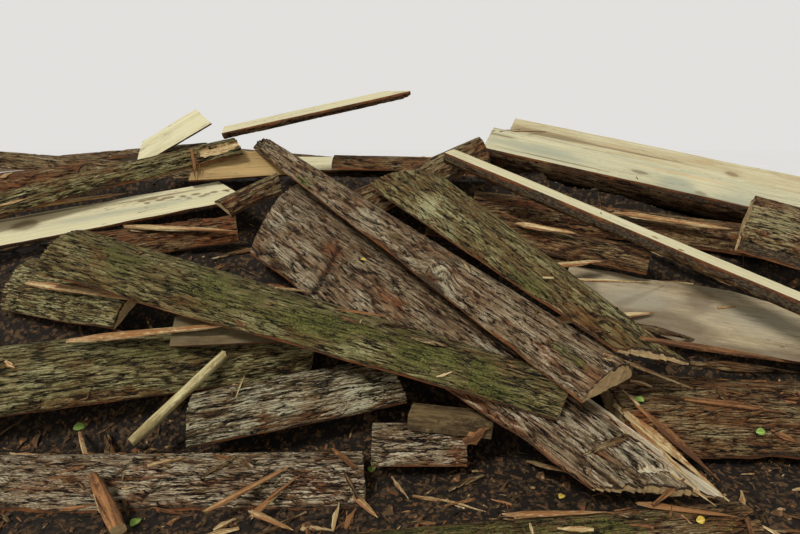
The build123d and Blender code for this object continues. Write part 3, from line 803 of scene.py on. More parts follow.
def end_grain_surface(s):
    """End grain: growth rings about the log's middle, with pores and grime."""
    wobble = s.grain((9, 9, 1), 4, 0.6)
    across, up = s.axes()
    away = (across * across + up * up).maths("SQRT") + wobble * 0.02
    rings = (away * s["Rings"]).maths("SINE")
    pores = s.grain((300, 300, 1), 3, 0.7)
    base = s.mix(rings.span(-0.6, 0.9, 0.1, 0.8), s["Early"], s["Late"])
    grime = s.grain((25, 40, 1), 5, 0.7, 0.4)
    base = s.mix(grime.span(0.42, 0.72, 0.0, 0.8), base, s["Dirt"])
    base = s.mix(pores.span(0.3, 0.55, 0.4, 0.0), base, s["Late"])
    return base, grime.span(0.3, 0.7, 0.8, 0.95), pores * 0.6 + rings * 0.12


def split_surface(s):
    """Split wood: long torn fibres, pale where fresh."""
    fibres = s.grain((7, 260, 1), 7, 0.72, 0.5)
    streaks = s.grain((3.5, 62, 1), 4, 0.6, 0.4, (1, 4, 0))
    warm = s.growth()[2]
    base = s.mix(fibres.span(0.4, 0.6), s["Shade"], s["Fresh"])
    dirt = s.grain((40, 160, 1), 5, 0.78, 0.2, (5, 8, 0))
    rusty = streaks + warm * 0.3 + dirt.off(0.9)
    base = s.mix(rusty.span(0.5, 0.72, 0.0, 0.9), base, s["Red"])
    base = s.mix(s.stored("tone").span(0.55, 1.0, 0.0, 0.35), base, s["Shade"])
    return base, streaks.span(0.3, 0.7, 0.7, 0.9), fibres + streaks * 0.5


def crumb_surface(s):
    """Broken bark: each crumb has its own tone, from black-brown to orange and cream, and painted shade
    darkens the edges between crumbs.
    """
    where = s.out("ShaderNodeTexCoord", "Object")
    mottle = s.noise(where, (90, 90, 90), 5, 0.7)
    cells = s.add("ShaderNodeTexVoronoi", {"Vector": s.stretched(where, (62, 62, 62)), "Scale": 1.0},
                  feature="F1").outputs
    each = s.out("ShaderNodeSeparateColor", 0, {"Color": Value(s, cells["Color"])})
    away = Value(s, cells["Distance"])
    # Painted shade: each crumb darkens towards the edge of its cell, where it meets the next.
    level = s.stored("shade") + mottle.off(0.8) + (each - 0.45) * 0.55 - away.span(0.45, 0.8, 0.0, 0.3)
    base = s.mix(level.span(0.05, 0.5), s["Dark"], s["Brown"])
    base = s.mix(level.span(0.7, 0.95), base, s["Orange"])
    base = s.mix(level.span(1.0, 1.1), base, s["Cream"])
    return base, mottle.span(0.3, 0.7, 0.8, 0.97), mottle - away * 0.9


def leaf_surface(s):
    """A leaf: mottled blade with a paler middle rib."""
    across = s.axes()[1]
    mottle = s.grain((120, 120, 1), 5, 0.7)
    base = s.mix(mottle.span(0.45, 0.7), s["Blade"], s["Spot"])
    base = s.mix(abs(across).span(0.0004, 0.0014, 0.9, 0.0), base, s["Rib"])
    return base, mottle.span(0.3, 0.7, 0.45, 0.65), mottle


def finish(name, surface, values, bump, reach, gloss):
    """A material that wears a surface; the values go to the group's inputs in their order."""
    made = bpy.data.materials.new(name)
    made.use_nodes = True
    nodes = Nodes(made.node_tree)
    shader = nodes.tree.nodes["Principled BSDF"]
    worn = nodes.add("ShaderNodeGroup", node_tree=surface.tree)
    for socket, value in zip(worn.inputs, values):
        socket.default_value = tint(*value) if isinstance(value, tuple) else value
    height = Value(nodes, worn.outputs["Height"])
    bumped = nodes.add("ShaderNodeBump", {"Strength": bump, "Distance": reach, "Height": height})
    for output, key in ((worn.outputs["Colour"], "Base Color"),
                        (worn.outputs["Roughness"], "Roughness"), (bumped.outputs["Normal"], "Normal")):
        nodes.tree.links.new(output, shader.inputs[key])
    shader.inputs["Specular IOR Level"].default_value = gloss
    return made


# Each surface with its colours, its other inputs, its bump and gloss, and the finishes made from
# it. A finish is the bump's reach in metres, then a value for each input.
finishes = (
    # For bark, the first colour is near black: painted shade in the furrows.
    (bark_surface, "Furrow Ridge Plate Lichen Moss Rubbed", "", 0.9, 0.2, {
        "brown_bark": (0.006, (22, 15, 8), (98, 76, 46), (148, 124, 84), (196, 184, 146),
                       (104, 116, 40), (126, 76, 40)),
        "grey_bark": (0.006, (24, 18, 11), (104, 88, 58), (158, 140, 104), (204, 198, 166),
                      (102, 112, 42), (124, 78, 44)),
        "green_bark": (0.006, (21, 17, 8), (88, 76, 42), (136, 122, 76), (184, 178, 130),
                       (90, 98, 34), (116, 74, 38)),
        "plum_bark": (0.006, (24, 16, 10), (104, 82, 56), (152, 130, 98), (200, 188, 158),
                      (98, 110, 40), (128, 76, 42)),
        "umber_bark": (0.006, (20, 12, 7), (86, 60, 35), (126, 96, 60), (168, 154, 112),
                       (98, 106, 36), (136, 76, 36))}),
    (sawn_surface, "Early Late Stain Grey Glow", "Grain", 0.35, 0.3, {
        "fresh_sawn_wood": (0.0015, (218, 210, 172), (196, 184, 138), (116, 98, 66), (160, 162, 138),
                            (214, 174, 118), 0.75),
        "golden_sawn_wood": (0.0015, (198, 170, 112), (164, 130, 80), (92, 68, 44), (160, 150, 122),
                             (204, 140, 76), 0.75),
        "weathered_sawn_wood": (0.0015, (198, 182, 144), (164, 144, 106), (88, 68, 44),
                                (152, 144, 122), (150, 98, 54), 0.7),
        "olive_sawn_wood": (0.0015, (156, 138, 92), (124, 104, 66), (74, 58, 38), (134, 128, 104),
                            (168, 122, 70), 0.75)}),
    (inner_bark_surface, "Pale Orange Red Crust", "Band", 0.9, 0.25, {
        "inner_bark": (0.004, (186, 150, 98), (148, 92, 48), (92, 54, 30), (44, 32, 22), 0.020)}),
    (end_grain_surface, "Early Late Dirt", "Rings", 0.5, 0.25, {
        "end_grain": (0.002, (206, 180, 130), (164, 130, 84), (120, 100, 74), 1400.0)}),
    (split_surface, "Fresh Shade Red", "", 0.8, 0.25, {
        "split_wood": (0.004, (218, 200, 150), (160, 128, 78), (138, 84, 42)),
        "aged_split_wood": (0.004, (122, 102, 66), (78, 62, 38), (56, 40, 24)),
        "pale_split_wood": (0.003, (206, 196, 146), (168, 152, 104), (132, 112, 70)),
        "bare_wood": (0.004, (212, 204, 176), (164, 146, 112), (150, 98, 60)),
        "torn_bark": (0.004, (166, 116, 68), (108, 72, 42), (74, 46, 28))}),
    (crumb_surface, "Dark Brown Orange Cream", "", 0.8, 0.25, {
        "litter": (0.004, (26, 19, 12), (82, 62, 40), (120, 78, 46), (176, 152, 106))}),
    (leaf_surface, "Blade Spot Rib", "", 0.3, 0.25, {
        "green_leaf": (0.001, (112, 146, 58), (150, 166, 84), (176, 190, 110)),
        "yellow_leaf": (0.001, (206, 176, 70), (160, 112, 48), (222, 204, 120))}))
material = {}
for paint, colours, numbers, bump, gloss, made in finishes:
    surface = Surface(paint, colours.split(), numbers.split())
    for name, (reach, *values) in made.items():
        material[name] = finish(name, surface, values, bump, reach, gloss)


def wear(mesh, look):
    """The five finishes of a slab or stick, in the order of its kinds of surface."""
    for key in (look["bark"], "inner_bark", look["sawn"], "end_grain", look["torn_wood"]):
        mesh.materials.append(material[key])


def put_in(name, data):
    """An object in the scene."""
    made = bpy.data.objects.new(name, data)
    bpy.context.scene.collection.objects.link(made)
    return made


def place_piece(name, mesh, slot, nodes=()):
    """A piece of the model, with the CAD nodes that it stands in for."""
    piece = put_in(name, mesh)
    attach(piece, "root")
    if nodes:
        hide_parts(*nodes)
    return piece


# How each slab looks. Places are pixels of the camera's picture, sizes are metres.
# step: a mesh cell along and across; ridge: a bark ridge's length and width; depth: its furrows;
# rim: thinnest and thickest bark edge; wave: how far the edge wanders in; torn: the wood missing
# from each end; end_rough: how rough the cut ends are; sag: hollows in the round; dish: hollows in
# the sawn face; bark_thick: how deep the wood lies where the bark is off; cover: moss, lichen and
# warmth all over; sawn_cover: stain, weather and glow. Lists of spots are (pixel x, pixel y, length,
# width, strength); cracks and bare are lines: (width, pixels); a knot is (pixel x, pixel y, size,
# height).

close, mid, far_off = (0.0098, 0.0046), (0.013, 0.0062), (0.032, 0.016)

looks = {
    "broad_slab": dict(
        step=close, ridge=(0.16, 0.023), depth=0.010, bark_thick=0.014, rim=(0.010, 0.020), wave=0.014,
        torn=(0.012, 0.040), sag=0.006, bark="plum_bark", cover=(0.04, 0.10, 0.10),
        smooth=[(290, 215, 0.10, 0.14, 0.8), (560, 400, 0.20, 0.08, 0.5)],
        cracks=[(0.022, [(340, 245), (328, 268), (315, 290)])],
        warm=[(332, 250, 0.06, 0.04, 0.9), (392, 300, 0.06, 0.03, 0.9), (470, 395, 0.20, 0.02, 0.5),
              (300, 300, 0.10, 0.02, 0.7), (540, 450, 0.30, 0.02, 0.8)],
        lichen=[(540, 408, 0.14, 0.05, 0.6), (620, 445, 0.12, 0.05, 0.6), (285, 215, 0.08, 0.08, 0.45),
                (495, 345, 0.08, 0.04, 0.5)], moss=[(440, 300, 0.10, 0.03, 0.3)],
        bare=[(0.085, [(606, 404), (640, 432), (676, 460), (716, 492)]),
              (0.016, [(640, 468), (690, 500)])]),
    "knotted_slab": dict(
        step=close, ridge=(0.17, 0.018), depth=0.009, rim=(0.006, 0.012), torn=(0.010, 0.012),
        bark="plum_bark", cover=(0.10, 0.10, 0.12),
        lichen=[(378, 240, 0.14, 0.05, 0.3), (440, 277, 0.07, 0.04, 0.65)],
        cracks=[(0.006, [(425, 277), (430, 271), (440, 269), (449, 273), (452, 279), (444, 285),
                         (432, 284), (425, 277)]),
                (0.004, [(433, 276), (440, 273), (445, 278), (438, 280)])],
        moss=[(305, 182, 0.07, 0.03, 0.7), (436, 276, 0.04, 0.03, 0.25), (400, 240, 0.08, 0.03, 0.5),
              (575, 358, 0.10, 0.03, 0.8)],
        warm=[(547, 355, 0.06, 0.03, 0.9), (600, 385, 0.05, 0.04, 0.5)],
        smooth=[(436, 276, 0.10, 0.06, 1.2)], knots=[(436, 276, 0.064, 0.030)]),
    "mossy_slab": dict(
        step=close, ridge=(0.12, 0.018), depth=0.009, rim=(0.008, 0.014), torn=(0.014, 0.012),
        bark="green_bark", cover=(0.26, 0.1, 0.1),
        moss=[(120, 255, 0.12, 0.08, 0.5), (215, 285, 0.16, 0.08, 0.6), (300, 315, 0.16, 0.08, 0.65),
              (370, 335, 0.16, 0.08, 0.6), (440, 362, 0.16, 0.08, 0.65), (500, 385, 0.12, 0.07, 0.5)],
        warm=[(90, 262, 0.10, 0.06, 0.5), (290, 330, 0.14, 0.02, 0.7), (190, 300, 0.10, 0.02, 0.5)]),
    "tipped_slab": dict(
        step=close, ridge=(0.12, 0.015), depth=0.007, rim=(0.008, 0.014), torn=(0.010, 0.030),
        bark="green_bark", cover=(0.10, 0.08, 0.30), smooth=[(408, 165, 0.07, 0.12, 0.9)],
        lichen=[(408, 165, 0.06, 0.10, 0.8), (440, 220, 0.10, 0.06, 0.35)],
        moss=[(530, 285, 0.14, 0.05, 0.6), (480, 250, 0.10, 0.05, 0.3)],
        warm=[(417, 232, 0.05, 0.03, 0.9), (570, 318, 0.10, 0.04, 0.9), (385, 215, 0.10, 0.02, 0.5)],
        bare=[(0.020, [(600, 355), (650, 375), (690, 393)])]),
    "crossing_slab": dict(
        step=mid, ridge=(0.11, 0.015), depth=0.006, rim=(0.008, 0.014), cover=(0.05, 0.2, 0.15),
        smooth=[(400, 158, 0.25, 0.05, 0.8)],
        warm=[(408, 150, 0.10, 0.03, 1.0), (360, 170, 0.08, 0.02, 0.6)],
        lichen=[(440, 160, 0.10, 0.05, 0.5), (385, 185, 0.08, 0.03, 0.4)]),
    "upper_bark_slab": dict(
        step=mid, ridge=(0.13, 0.017), depth=0.008, rim=(0.006, 0.012), torn=(0.004, 0.010),
        bark="green_bark", cover=(0.12, 0.15, 0.12),
        warm=[(60, 180, 0.30, 0.02, 0.8), (150, 152, 0.25, 0.02, 0.9), (195, 165, 0.05, 0.04, 0.9)],
        bare=[(0.035, [(202, 152), (248, 146)])], torn_wood="split_wood"),
    "left_slope_slab": dict(
        step=close, ridge=(0.14, 0.018), depth=0.009, rim=(0.008, 0.018), wave=0.020, torn=(0.02, 0.03),
        bark="green_bark", cover=(0.06, 0.22, 0.06),
        moss=[(150, 352, 0.22, 0.07, 0.6), (60, 330, 0.10, 0.05, 0.3)],
        warm=[(120, 395, 0.3, 0.02, 0.7), (300, 395, 0.10, 0.04, 0.5)]),
    "fine_bark_slab": dict(
        step=(0.009, 0.005), ridge=(0.08, 0.010), depth=0.005, rim=(0.006, 0.012), torn=(0.03, 0.012),
        bark="green_bark", cover=(0.05, 0.3, 0.05),
        warm=[(20, 330, 0.05, 0.03, 0.7), (8, 285, 0.02, 0.12, 0.8)]),
    "ridged_slab": dict(
        step=(0.0085, 0.004), ridge=(0.17, 0.020), depth=0.011, torn=(0.012, 0.016), bark="grey_bark",
        cover=(0.02, 0.32, 0.05), warm=[(262, 400, 0.03, 0.10, 0.6), (330, 430, 0.3, 0.015, 0.7)]),
    "foot_slab": dict(
        step=close, ridge=(0.15, 0.020), depth=0.010, rim=(0.010, 0.018), wave=0.016, torn=(0.01, 0.02),
        bark="plum_bark", cover=(0.02, 0.28, 0.12),
        warm=[(150, 470, 0.10, 0.04, 0.5), (300, 480, 0.10, 0.04, 0.5), (60, 480, 0.10, 0.03, 0.4)]),
    "foot_stub": dict(
        step=(0.007, 0.0042), ridge=(0.13, 0.018), depth=0.009, rim=(0.008, 0.014), bark="plum_bark",
        cover=(0.03, 0.2, 0.12), moss=[(372, 465, 0.04, 0.04, 0.9)],
        warm=[(458, 455, 0.03, 0.08, 0.9)]),
    "low_right_slab": dict(
        step=close, ridge=(0.17, 0.020), depth=0.009, wave=0.02, torn=(0.03, 0.02),
        cover=(0.06, 0.14, 0.15), lichen=[(700, 370, 0.2, 0.05, 0.3)],
        warm=[(650, 420, 0.2, 0.03, 0.5)]),
    "front_slab": dict(
        step=mid, ridge=(0.12, 0.017), depth=0.008, cover=(0.35, 0.1, 0.1),
        moss=[(450, 528, 0.2, 0.05, 0.5), (600, 528, 0.2, 0.05, 0.4)]),
    "short_slab": dict(step=mid, depth=0.006, cover=(0.1, 0.4, 0.1)),
    "right_under_slab": dict(step=mid, cover=(0.02, 0.15, 0.2)),
    "end_chunk": dict(
        step=(0.007, 0.005), ridge=(0.12, 0.017), depth=0.007, rim=(0.010, 0.018), torn=(0.03, 0.01),
        end_rough=0.014, cover=(0.0, 0.3, 0.15), bark_thick=0.010, smooth=[(775, 220, 0.2, 0.06, 1.0)],
        lichen=[(775, 220, 0.2, 0.05, 0.8)]),
    "long_pale_slab": dict(
        step=(0.012, 0.008), rim=(0.012, 0.026), wave=0.006, torn=(0.01, 0.004), sawn="fresh_sawn_wood",
        sawn_cover=(0.08, 0.2, 0.02), dish=0.002,
        stains=[(25, 225, 0.05, 0.03, 0.8), (40, 215, 0.25, 0.008, 0.6), (150, 198, 0.25, 0.008, 0.5),
                *((px, py, 0.009 + 0.004 * (px % 3), 0.005, 1.7) for px, py in (
                    (142, 201), (147, 203), (152, 199), (160, 200), (166, 198), (171, 197),
                    (183, 196), (189, 198), (196, 194), (202, 196), (207, 194), (214, 192),
                    (226, 190), (236, 188)))],
        weather=[(120, 212, 0.4, 0.03, 0.4)]),
    "left_under_slab": dict(step=mid, sawn="olive_sawn_wood", sawn_cover=(0.4, 0.3, 0.0)),
    "weathered_slab": dict(
        step=(0.014, 0.008), rim=(0.012, 0.026), wave=0.020, torn=(0.02, 0.02),
        sawn="weathered_sawn_wood", sawn_cover=(0.3, 0.35, 0.0), dish=0.004,
        stains=[(600, 326, 0.10, 0.03, 0.9), (650, 342, 0.12, 0.035, 1.1), (720, 350, 0.14, 0.03, 1.0),
                (790, 360, 0.12, 0.03, 1.0), (588, 290, 0.03, 0.08, 0.4), (700, 300, 0.05, 0.04, 0.3)],
        weather=[(640, 300, 0.12, 0.05, 0.35), (760, 320, 0.15, 0.05, 0.3)]),
    "shaded_slab": dict(step=mid, sawn_cover=(0.25, 0.1, 0.0), rim=(0.01, 0.02), bark="brown_bark"),
    "middle_back_slab": dict(
        step=(0.018, 0.010), rim=(0.012, 0.024), sawn="fresh_sawn_wood", sawn_cover=(0.1, 0.25, 0.1),
        bark="brown_bark"),
    "high_pale_slab": dict(
        step=mid, rim=(0.012, 0.024), wave=0.004, sawn="fresh_sawn_wood", sawn_cover=(0.02, 0.1, 0.05),
        dish=0.002),
    "pale_tip_slab": dict(
        step=mid, sawn="fresh_sawn_wood", sawn_cover=(0.15, 0.1, 0.1), bark="brown_bark"),
    "right_front_slab": dict(
        step=(0.018, 0.010), rim=(0.014, 0.030), wave=0.008, torn=(0.006, 0.004),
        sawn="fresh_sawn_wood", sawn_cover=(0.16, 0.38, 0.08), dish=0.002,
        stains=[(640, 172, 0.03, 0.015, 0.9), (700, 192, 0.02, 0.02, 0.7), (560, 160, 0.2, 0.006, 0.8),
                (720, 198, 0.3, 0.006, 0.8), (600, 150, 0.4, 0.010, 0.5), (650, 185, 0.25, 0.004, 0.7),
                (500, 135, 0.08, 0.01, 0.6), (740, 215, 0.2, 0.005, 0.7)],
        weather=[(678, 185, 0.06, 0.07, 0.9), (760, 205, 0.2, 0.04, 0.5), (540, 150, 0.2, 0.05, 0.4)],
        glow=[(690, 176, 0.3, 0.012, 0.8)]),
    "right_back_slab": dict(
        step=(0.018, 0.010), rim=(0.014, 0.028), wave=0.008, torn=(0.02, 0.004), sawn="fresh_sawn_wood",
        sawn_cover=(0.24, 0.2, 0.42), dish=0.002,
        stains=[(550, 135, 0.16, 0.03, 0.8), (732, 174, 0.02, 0.02, 1.0), (620, 150, 0.30, 0.01, 0.5)]),
    "long_edging": dict(
        step=(0.014, 0.005), rim=(0.008, 0.018), wave=0.004, sawn="fresh_sawn_wood",
        sawn_cover=(0.1, 0.2, 0.1)),
    "brown_slabs": dict(step=mid),
    "right_prop_slab": dict(step=(0.016, 0.008)),
    "middle_inner_slab": dict(step=(0.016, 0.008), cover=(0.05, 0.05, 0.2)),
    "left_inner_slabs": dict(step=(0.014, 0.007), cover=(0.0, 0.05, 0.45)),
    "ridge_slabs": dict(step=(0.018, 0.009), bark="brown_bark", cover=(0.05, 0.1, 0.25)),
}

# The sticks. sides: points round one; points: how far each tip narrows; bark_below: how low on
# its round, from 1 down to -1, a stick begins to show bark.
stick_looks = {
    "lath": dict(step=0.014, sag=0.12, points=(0.15, 0.1), torn_wood="pale_split_wood"),
    "short_beam": dict(
        step=0.014, sides=16, sag=0.05, points=(0.0, 0.0), torn=(0.004, 0.004),
        torn_wood="aged_split_wood"),
    "wedge_splinter": dict(
        step=0.006, sag=0.3, points=(0.2, 0.15), bark_below=0.0, torn_wood="torn_bark",
        torn=(0.05, 0.02), cover=(0, 0, 0.3)),
    "front_sticks": dict(
        step=0.008, torn_wood="split_wood", sag=0.4, points=(0.5, 0.75), torn=(0.03, 0.04),
        bark_below=-0.5, cover=(0, 0, 0.6)),
    "left_strips": dict(
        step=0.01, torn_wood="split_wood", sag=0.35, points=(0.5, 0.8), torn=(0.03, 0.06),
        bark_below=-0.35, cover=(0, 0, 0.4)),
    "right_strips": dict(
        step=0.01, torn_wood="split_wood", sag=0.35, points=(0.6, 0.6), torn=(0.04, 0.05),
        bark_below=-0.35, cover=(0, 0, 0.35)),
}


# The slabs and sticks of the heap

slot_of = {entry["node"]: entry["material_slot"] for entry in frame["record"]["subparts"]}


def rear_look(node_name, number):
    """A plainer look for the slabs at the back and the ends, whose colours take turns."""
    bark = ("brown_bark", "umber_bark", "green_bark", "grey_bark")[(len(node_name) + number) % 4]
    return dict(step=far_off, ridge=(0.17, 0.025), bark=bark,
                cover=(0.05 + 0.05 * (number % 3), 0.12, 0.1 + 0.1 * (number % 2)))


shapes = []
for number, name in enumerate(sorted(frame["nodes"])):
    if slot_of[name] == "bark_litter":
        continue
    shape = Shape()
    for index, (points, faces) in enumerate(solids_of(name)):
        seed = 11 * number + index
        if name in stick_looks:
            look = dict(plain_stick, **stick_looks[name])
            cut_stick(shape, points, look, seed)
        else:
            slab = Slab(points, faces)
            look = dict(plain_look, **(looks.get(name) or rear_look(name, number + index)))
            look["fine_sawn"] = slab.up[2] < 0
            cut_slab(shape, slab, look, seed)
    mesh = shape.mesh(name + "_dressed")
    wear(mesh, look)
    place_piece(name + "_dressed", mesh, slot_of[name], (name,))
    shapes.append(mesh)


# The bed of crumbs that fills the heap and thins out over the ground around it

straight_up, straight_down = Vector((0, 0, 1)), Vector((0, 0, -1))


def solid_tree(node_name):
    """The solids of a CAD node, to be met by sight lines."""
    points, faces = [], []
    for part_points, part_faces in solids_of(node_name):
        faces += (part_faces + len(points)).tolist()
        points += [Vector(p) for p in part_points]
    return BVHTree.FromPolygons(points, faces)


def joined_tree(meshes):
    """Meshes joined, to be met by sight lines."""
    work = bmesh.new()
    for mesh in meshes:
        work.from_mesh(mesh)
    tree = BVHTree.FromBMesh(work)
    work.free()
    return tree


def filled_up(x, y, z, slabs):
    """The bed banks up under the slabs at both sides of the top, as far as the slab above lets it."""
    most, gap, highest, search = 0.26, 0.02, 0.93, 0.4
    share = ramp(y, -0.4, -0.15) * ramp(0.9 - y, 0, 0.2) * (ramp(x, 0.5, 0.65) + ramp(-x, 1.2, 1.4))
    rise = 0 * z
    for i, j in np.argwhere((share > 0) & (z > 0.3)):
        hit = slabs.ray_cast(Vector((x[i, j], y[i, j], z[i, j])), straight_up, search)[0]
        room = max(min(hit.z - gap, highest) - z[i, j], 0) if hit else 0
        rise[i, j] = share[i, j] * min(most, room)
    for _ in range(2):
        beside = sum(np.roll(rise, step, axis) for axis in (0, 1) for step in (-1, 1))
        rise = (2 * rise + beside) / 6
    return z + rise


def bed_mesh(name, cell=0.025):
    """A closed lumpy bed: the core's surface let down a little, and a thin skirt on the ground."""
    above_all, core_from = 3.0, 0.045
    core = solid_tree("heap_core")
    low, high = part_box("litter_sheet")
    nx, ny = round((high.x - low.x) / cell), round((high.y - low.y) / cell)
    a, b = np.meshgrid(np.linspace(-1, 1, nx), np.linspace(-1, 1, ny), indexing="ij")
    turn = np.arctan2(b, a)
    wander = 1 - 0.03 * hills(5 * np.cos(turn), 5 * np.sin(turn), 900, 4)
    squash = 1 - 0.06 * (a * b) ** 4
    x = (low.x + high.x) / 2 + (high.x - low.x) / 2 * a * wander * squash
    y = (low.y + high.y) / 2 + (high.y - low.y) / 2 * b * wander * squash
    under = np.zeros(x.shape)
    for i, j in np.ndindex(x.shape):
        hit = core.ray_cast(Vector((x[i, j], y[i, j], above_all)), straight_down)[0]
        under[i, j] = hit.z if hit else 0.0
    edge = ramp(1 - np.maximum(np.abs(a), np.abs(b)), 0.0, 0.04)
    lumps = hills(x / 0.08, y / 0.08, 910, 5)
    floor = (0.004 + 0.024 * lumps) * edge + 0.0008
    lowered = under - 0.004 - 0.030 * (1 - lumps) + 0.05 * ramp(under, 0.7, 0.84)
    z = filled_up(x, y, np.maximum(floor, np.where(under > core_from, lowered, 0)), joined_tree(shapes))
    top = np.arange(nx * ny).reshape(nx, ny)
    corners = np.stack([top[:-1, :-1], top[1:, :-1], top[1:, 1:], top[:-1, 1:]], axis=-1)
    rim = np.concatenate([top[:-1, 0], top[-1, :-1], top[:0:-1, -1], top[0, :0:-1]])
    places = np.column_stack([x.reshape(-1), y.reshape(-1), z.reshape(-1)])
    below = len(places) + np.arange(len(rim))
    faces = corners.reshape(-1, 4).tolist()
    faces += np.stack([rim, below, np.roll(below, -1), np.roll(rim, -1)], axis=-1).tolist()
    faces.append(below.tolist())
    mesh = bpy.data.meshes.new(name)
    mesh.from_pydata(np.concatenate([places, places[rim] * [1, 1, 0]]).tolist(), [], faces)
    mesh.update()
    shade = np.clip(0.1 + 0.3 * coarse(x / 0.05, y / 0.05, 915, 4), 0, 0.6).reshape(-1)
    store(mesh, "shade", np.concatenate([shade, shade[rim]]))
    seen_side = ramp(-y, 0.6, 1.15).reshape(-1) * 0.8 + 0.2
    store(mesh, "plenty", np.concatenate([seen_side, 0 * seen_side[rim]]))
    face_outward(mesh)
    mesh.polygons.foreach_set("use_smooth", np.ones(len(mesh.polygons), bool))
    return mesh


bed = bed_mesh("litter_bed")
bed.materials.append(material["litter"])


# Loose chips: curled scraps, splinters and crumbs, spread by Geometry Nodes

def chip_mesh(name, length, width, thick, curl, seed, cols):
    """A curled scrap of bark: a bent closed strip with uneven edges."""
    points, faces = [], []
    for i in range(cols + 1):
        t = i / cols - 0.5
        w = width * (1 - 0.9 * t * t) * (0.5 + float(chance(i, 1, seed)))
        shift = 0.5 * width * (float(chance(i, 5, seed)) - 0.5)
        bend = curl * (0.25 - t * t) * length
        for side, up in ((-1, -1), (1, -1), (1, 1), (-1, 1)):
            wobble = 0.3 * (float(chance(i, 7 + side, seed)) - 0.5)
            points.append((t * length, shift + side * w * (0.5 + 0.2 * wobble),
                           bend + up * thick * 0.5 - 0.3 * curl * w * (1 if side > 0 else 0)))
    for i in range(cols):
        for k in range(4):
            faces.append([4 * i + k, 4 * i + (k + 1) % 4, 4 * i + 4 + (k + 1) % 4, 4 * i + 4 + k])
    faces += [[3, 2, 1, 0], [4 * cols + k for k in range(4)]]
    mesh = bpy.data.meshes.new(name)
    mesh.from_pydata(points, [], faces)
    mesh.update()
    face_outward(mesh)
    return mesh


def chip_collection(name, cols, sizes):
    """Chips to pick from; a size is its length, width, thickness and curl."""
    made = bpy.data.collections.new(name)
    for number, size in enumerate(sizes):
        mesh = chip_mesh(f"{name}_{number}", *size, 40 + number, cols)
        made.objects.link(bpy.data.objects.new(f"{name}_{number}", mesh))
    return made


def scatter_tree():
    """Points on a mesh, a turned and sized chip on each, and its own shade."""
    g = Nodes(bpy.data.node_groups.new("scatter_chips", "GeometryNodeTree"),
              [("Geometry", "Geometry"), ("Chips", "Collection"), ("Finish", "Material"),
               ("Per Square Metre", "Float"), ("Smallest", "Float"), ("Largest", "Float"),
               ("Tilt", "Float"), ("Palest", "Float"), ("Seed", "Int")], [("Geometry", "Geometry")])
    plenty = g.out("GeometryNodeInputNamedAttribute", "Attribute", {"Name": "plenty"},
                   data_type="FLOAT")
    many = plenty * g["Per Square Metre"]
    spread = g.add("GeometryNodeDistributePointsOnFaces",
                   {"Mesh": g["Geometry"], "Density": many, "Seed": g["Seed"]})
    chips_in = g.out("GeometryNodeCollectionInfo", 0,
                     {"Collection": g["Chips"], "Separate Children": True, "Reset Children": True})

    def random(kind, low, high, offset):
        """A draw for each chip, from low to high."""
        seed = g["Seed"] + offset
        keys = {"FLOAT": (2, 3, 1), "FLOAT_VECTOR": (0, 1, 0), "INT": (4, 5, 2)}[kind]
        return g.out("FunctionNodeRandomValue", keys[2], {keys[0]: low, keys[1]: high, "Seed": seed},
                     data_type=kind)

    tilt = g.out("ShaderNodeCombineXYZ", 0, {"X": g["Tilt"], "Y": g["Tilt"], "Z": 3.1416})
    back = g.out("ShaderNodeVectorMath", 0, {0: tilt, "Scale": -1.0}, operation="SCALE")
    turn = g.out("FunctionNodeEulerToRotation", 0, {0: random("FLOAT_VECTOR", back, tilt, 1)})
    facing = g.out("FunctionNodeRotateRotation", 0, {0: Value(g, spread.outputs["Rotation"]), 1: turn},
                   rotation_space="LOCAL")
    laid = g.out("GeometryNodeInstanceOnPoints", 0,
                 {"Points": Value(g, spread.outputs["Points"]), "Instance": chips_in,
                  "Pick Instance": True, "Instance Index": random("INT", 0, 40, 2),
                  "Rotation": facing, "Scale": random("FLOAT", g["Smallest"], g["Largest"], 3)})
    shaded = g.out("GeometryNodeStoreNamedAttribute", 0,
                   {"Geometry": laid, "Name": "shade", "Value": random("FLOAT", 0.0, g["Palest"], 4)},
                   data_type="FLOAT", domain="INSTANCE")
    real = g.out("GeometryNodeRealizeInstances", 0, {"Geometry": shaded})
    done = g.out("GeometryNodeSetMaterial", 0, {"Geometry": real, "Material": g["Finish"]})
    g.add("NodeGroupOutput", {"Geometry": done})
    return g.tree


def scattered(name, ground, tree, values):
    """A plain mesh of the chips that the tree spreads over a mesh."""
    holder = put_in(name, ground.copy())
    modifier = holder.modifiers.new("chips", "NODES")
    modifier.node_group = tree
    for item in tree.interface.items_tree:
        if item.in_out == "INPUT" and item.name in values:
            modifier[item.identifier] = values[item.name]
    bpy.context.view_layer.update()
    seen = holder.evaluated_get(bpy.context.evaluated_depsgraph_get())
    mesh = bpy.data.meshes.new_from_object(seen)
    bpy.data.objects.remove(holder)
    return mesh


scraps = chip_collection("scrap", 3, (
    (0.060, 0.022, 0.004, 0.5), (0.045, 0.016, 0.004, -0.4), (0.075, 0.012, 0.004, 0.3),
    (0.032, 0.024, 0.006, 0.2), (0.10, 0.008, 0.004, 0.15), (0.028, 0.018, 0.010, 0.1)))
crumbs = chip_collection("crumb", 1, (
    (0.020, 0.012, 0.006, 0.1), (0.015, 0.010, 0.005, 0.0), (0.030, 0.007, 0.003, 0.2),
    (0.024, 0.014, 0.004, -0.3)))
chips_tree = scatter_tree()
spreads = [(name, scattered(name, bed, chips_tree, {
    "Chips": chips, "Finish": material["litter"], "Per Square Metre": many, "Smallest": smallest,
    "Largest": largest, "Tilt": tilt, "Palest": palest, "Seed": seed}))
    for name, chips, many, smallest, largest, tilt, palest, seed in (
        ("loose_chips", scraps, 340.0, 0.35, 1.1, 0.45, 0.93, 3),
        ("fine_crumbs", crumbs, 1500.0, 0.5, 1.3, 0.6, 0.88, 11))]
place_piece("litter_bed", bed, "bark_litter", ("heap_core", "litter_sheet"))


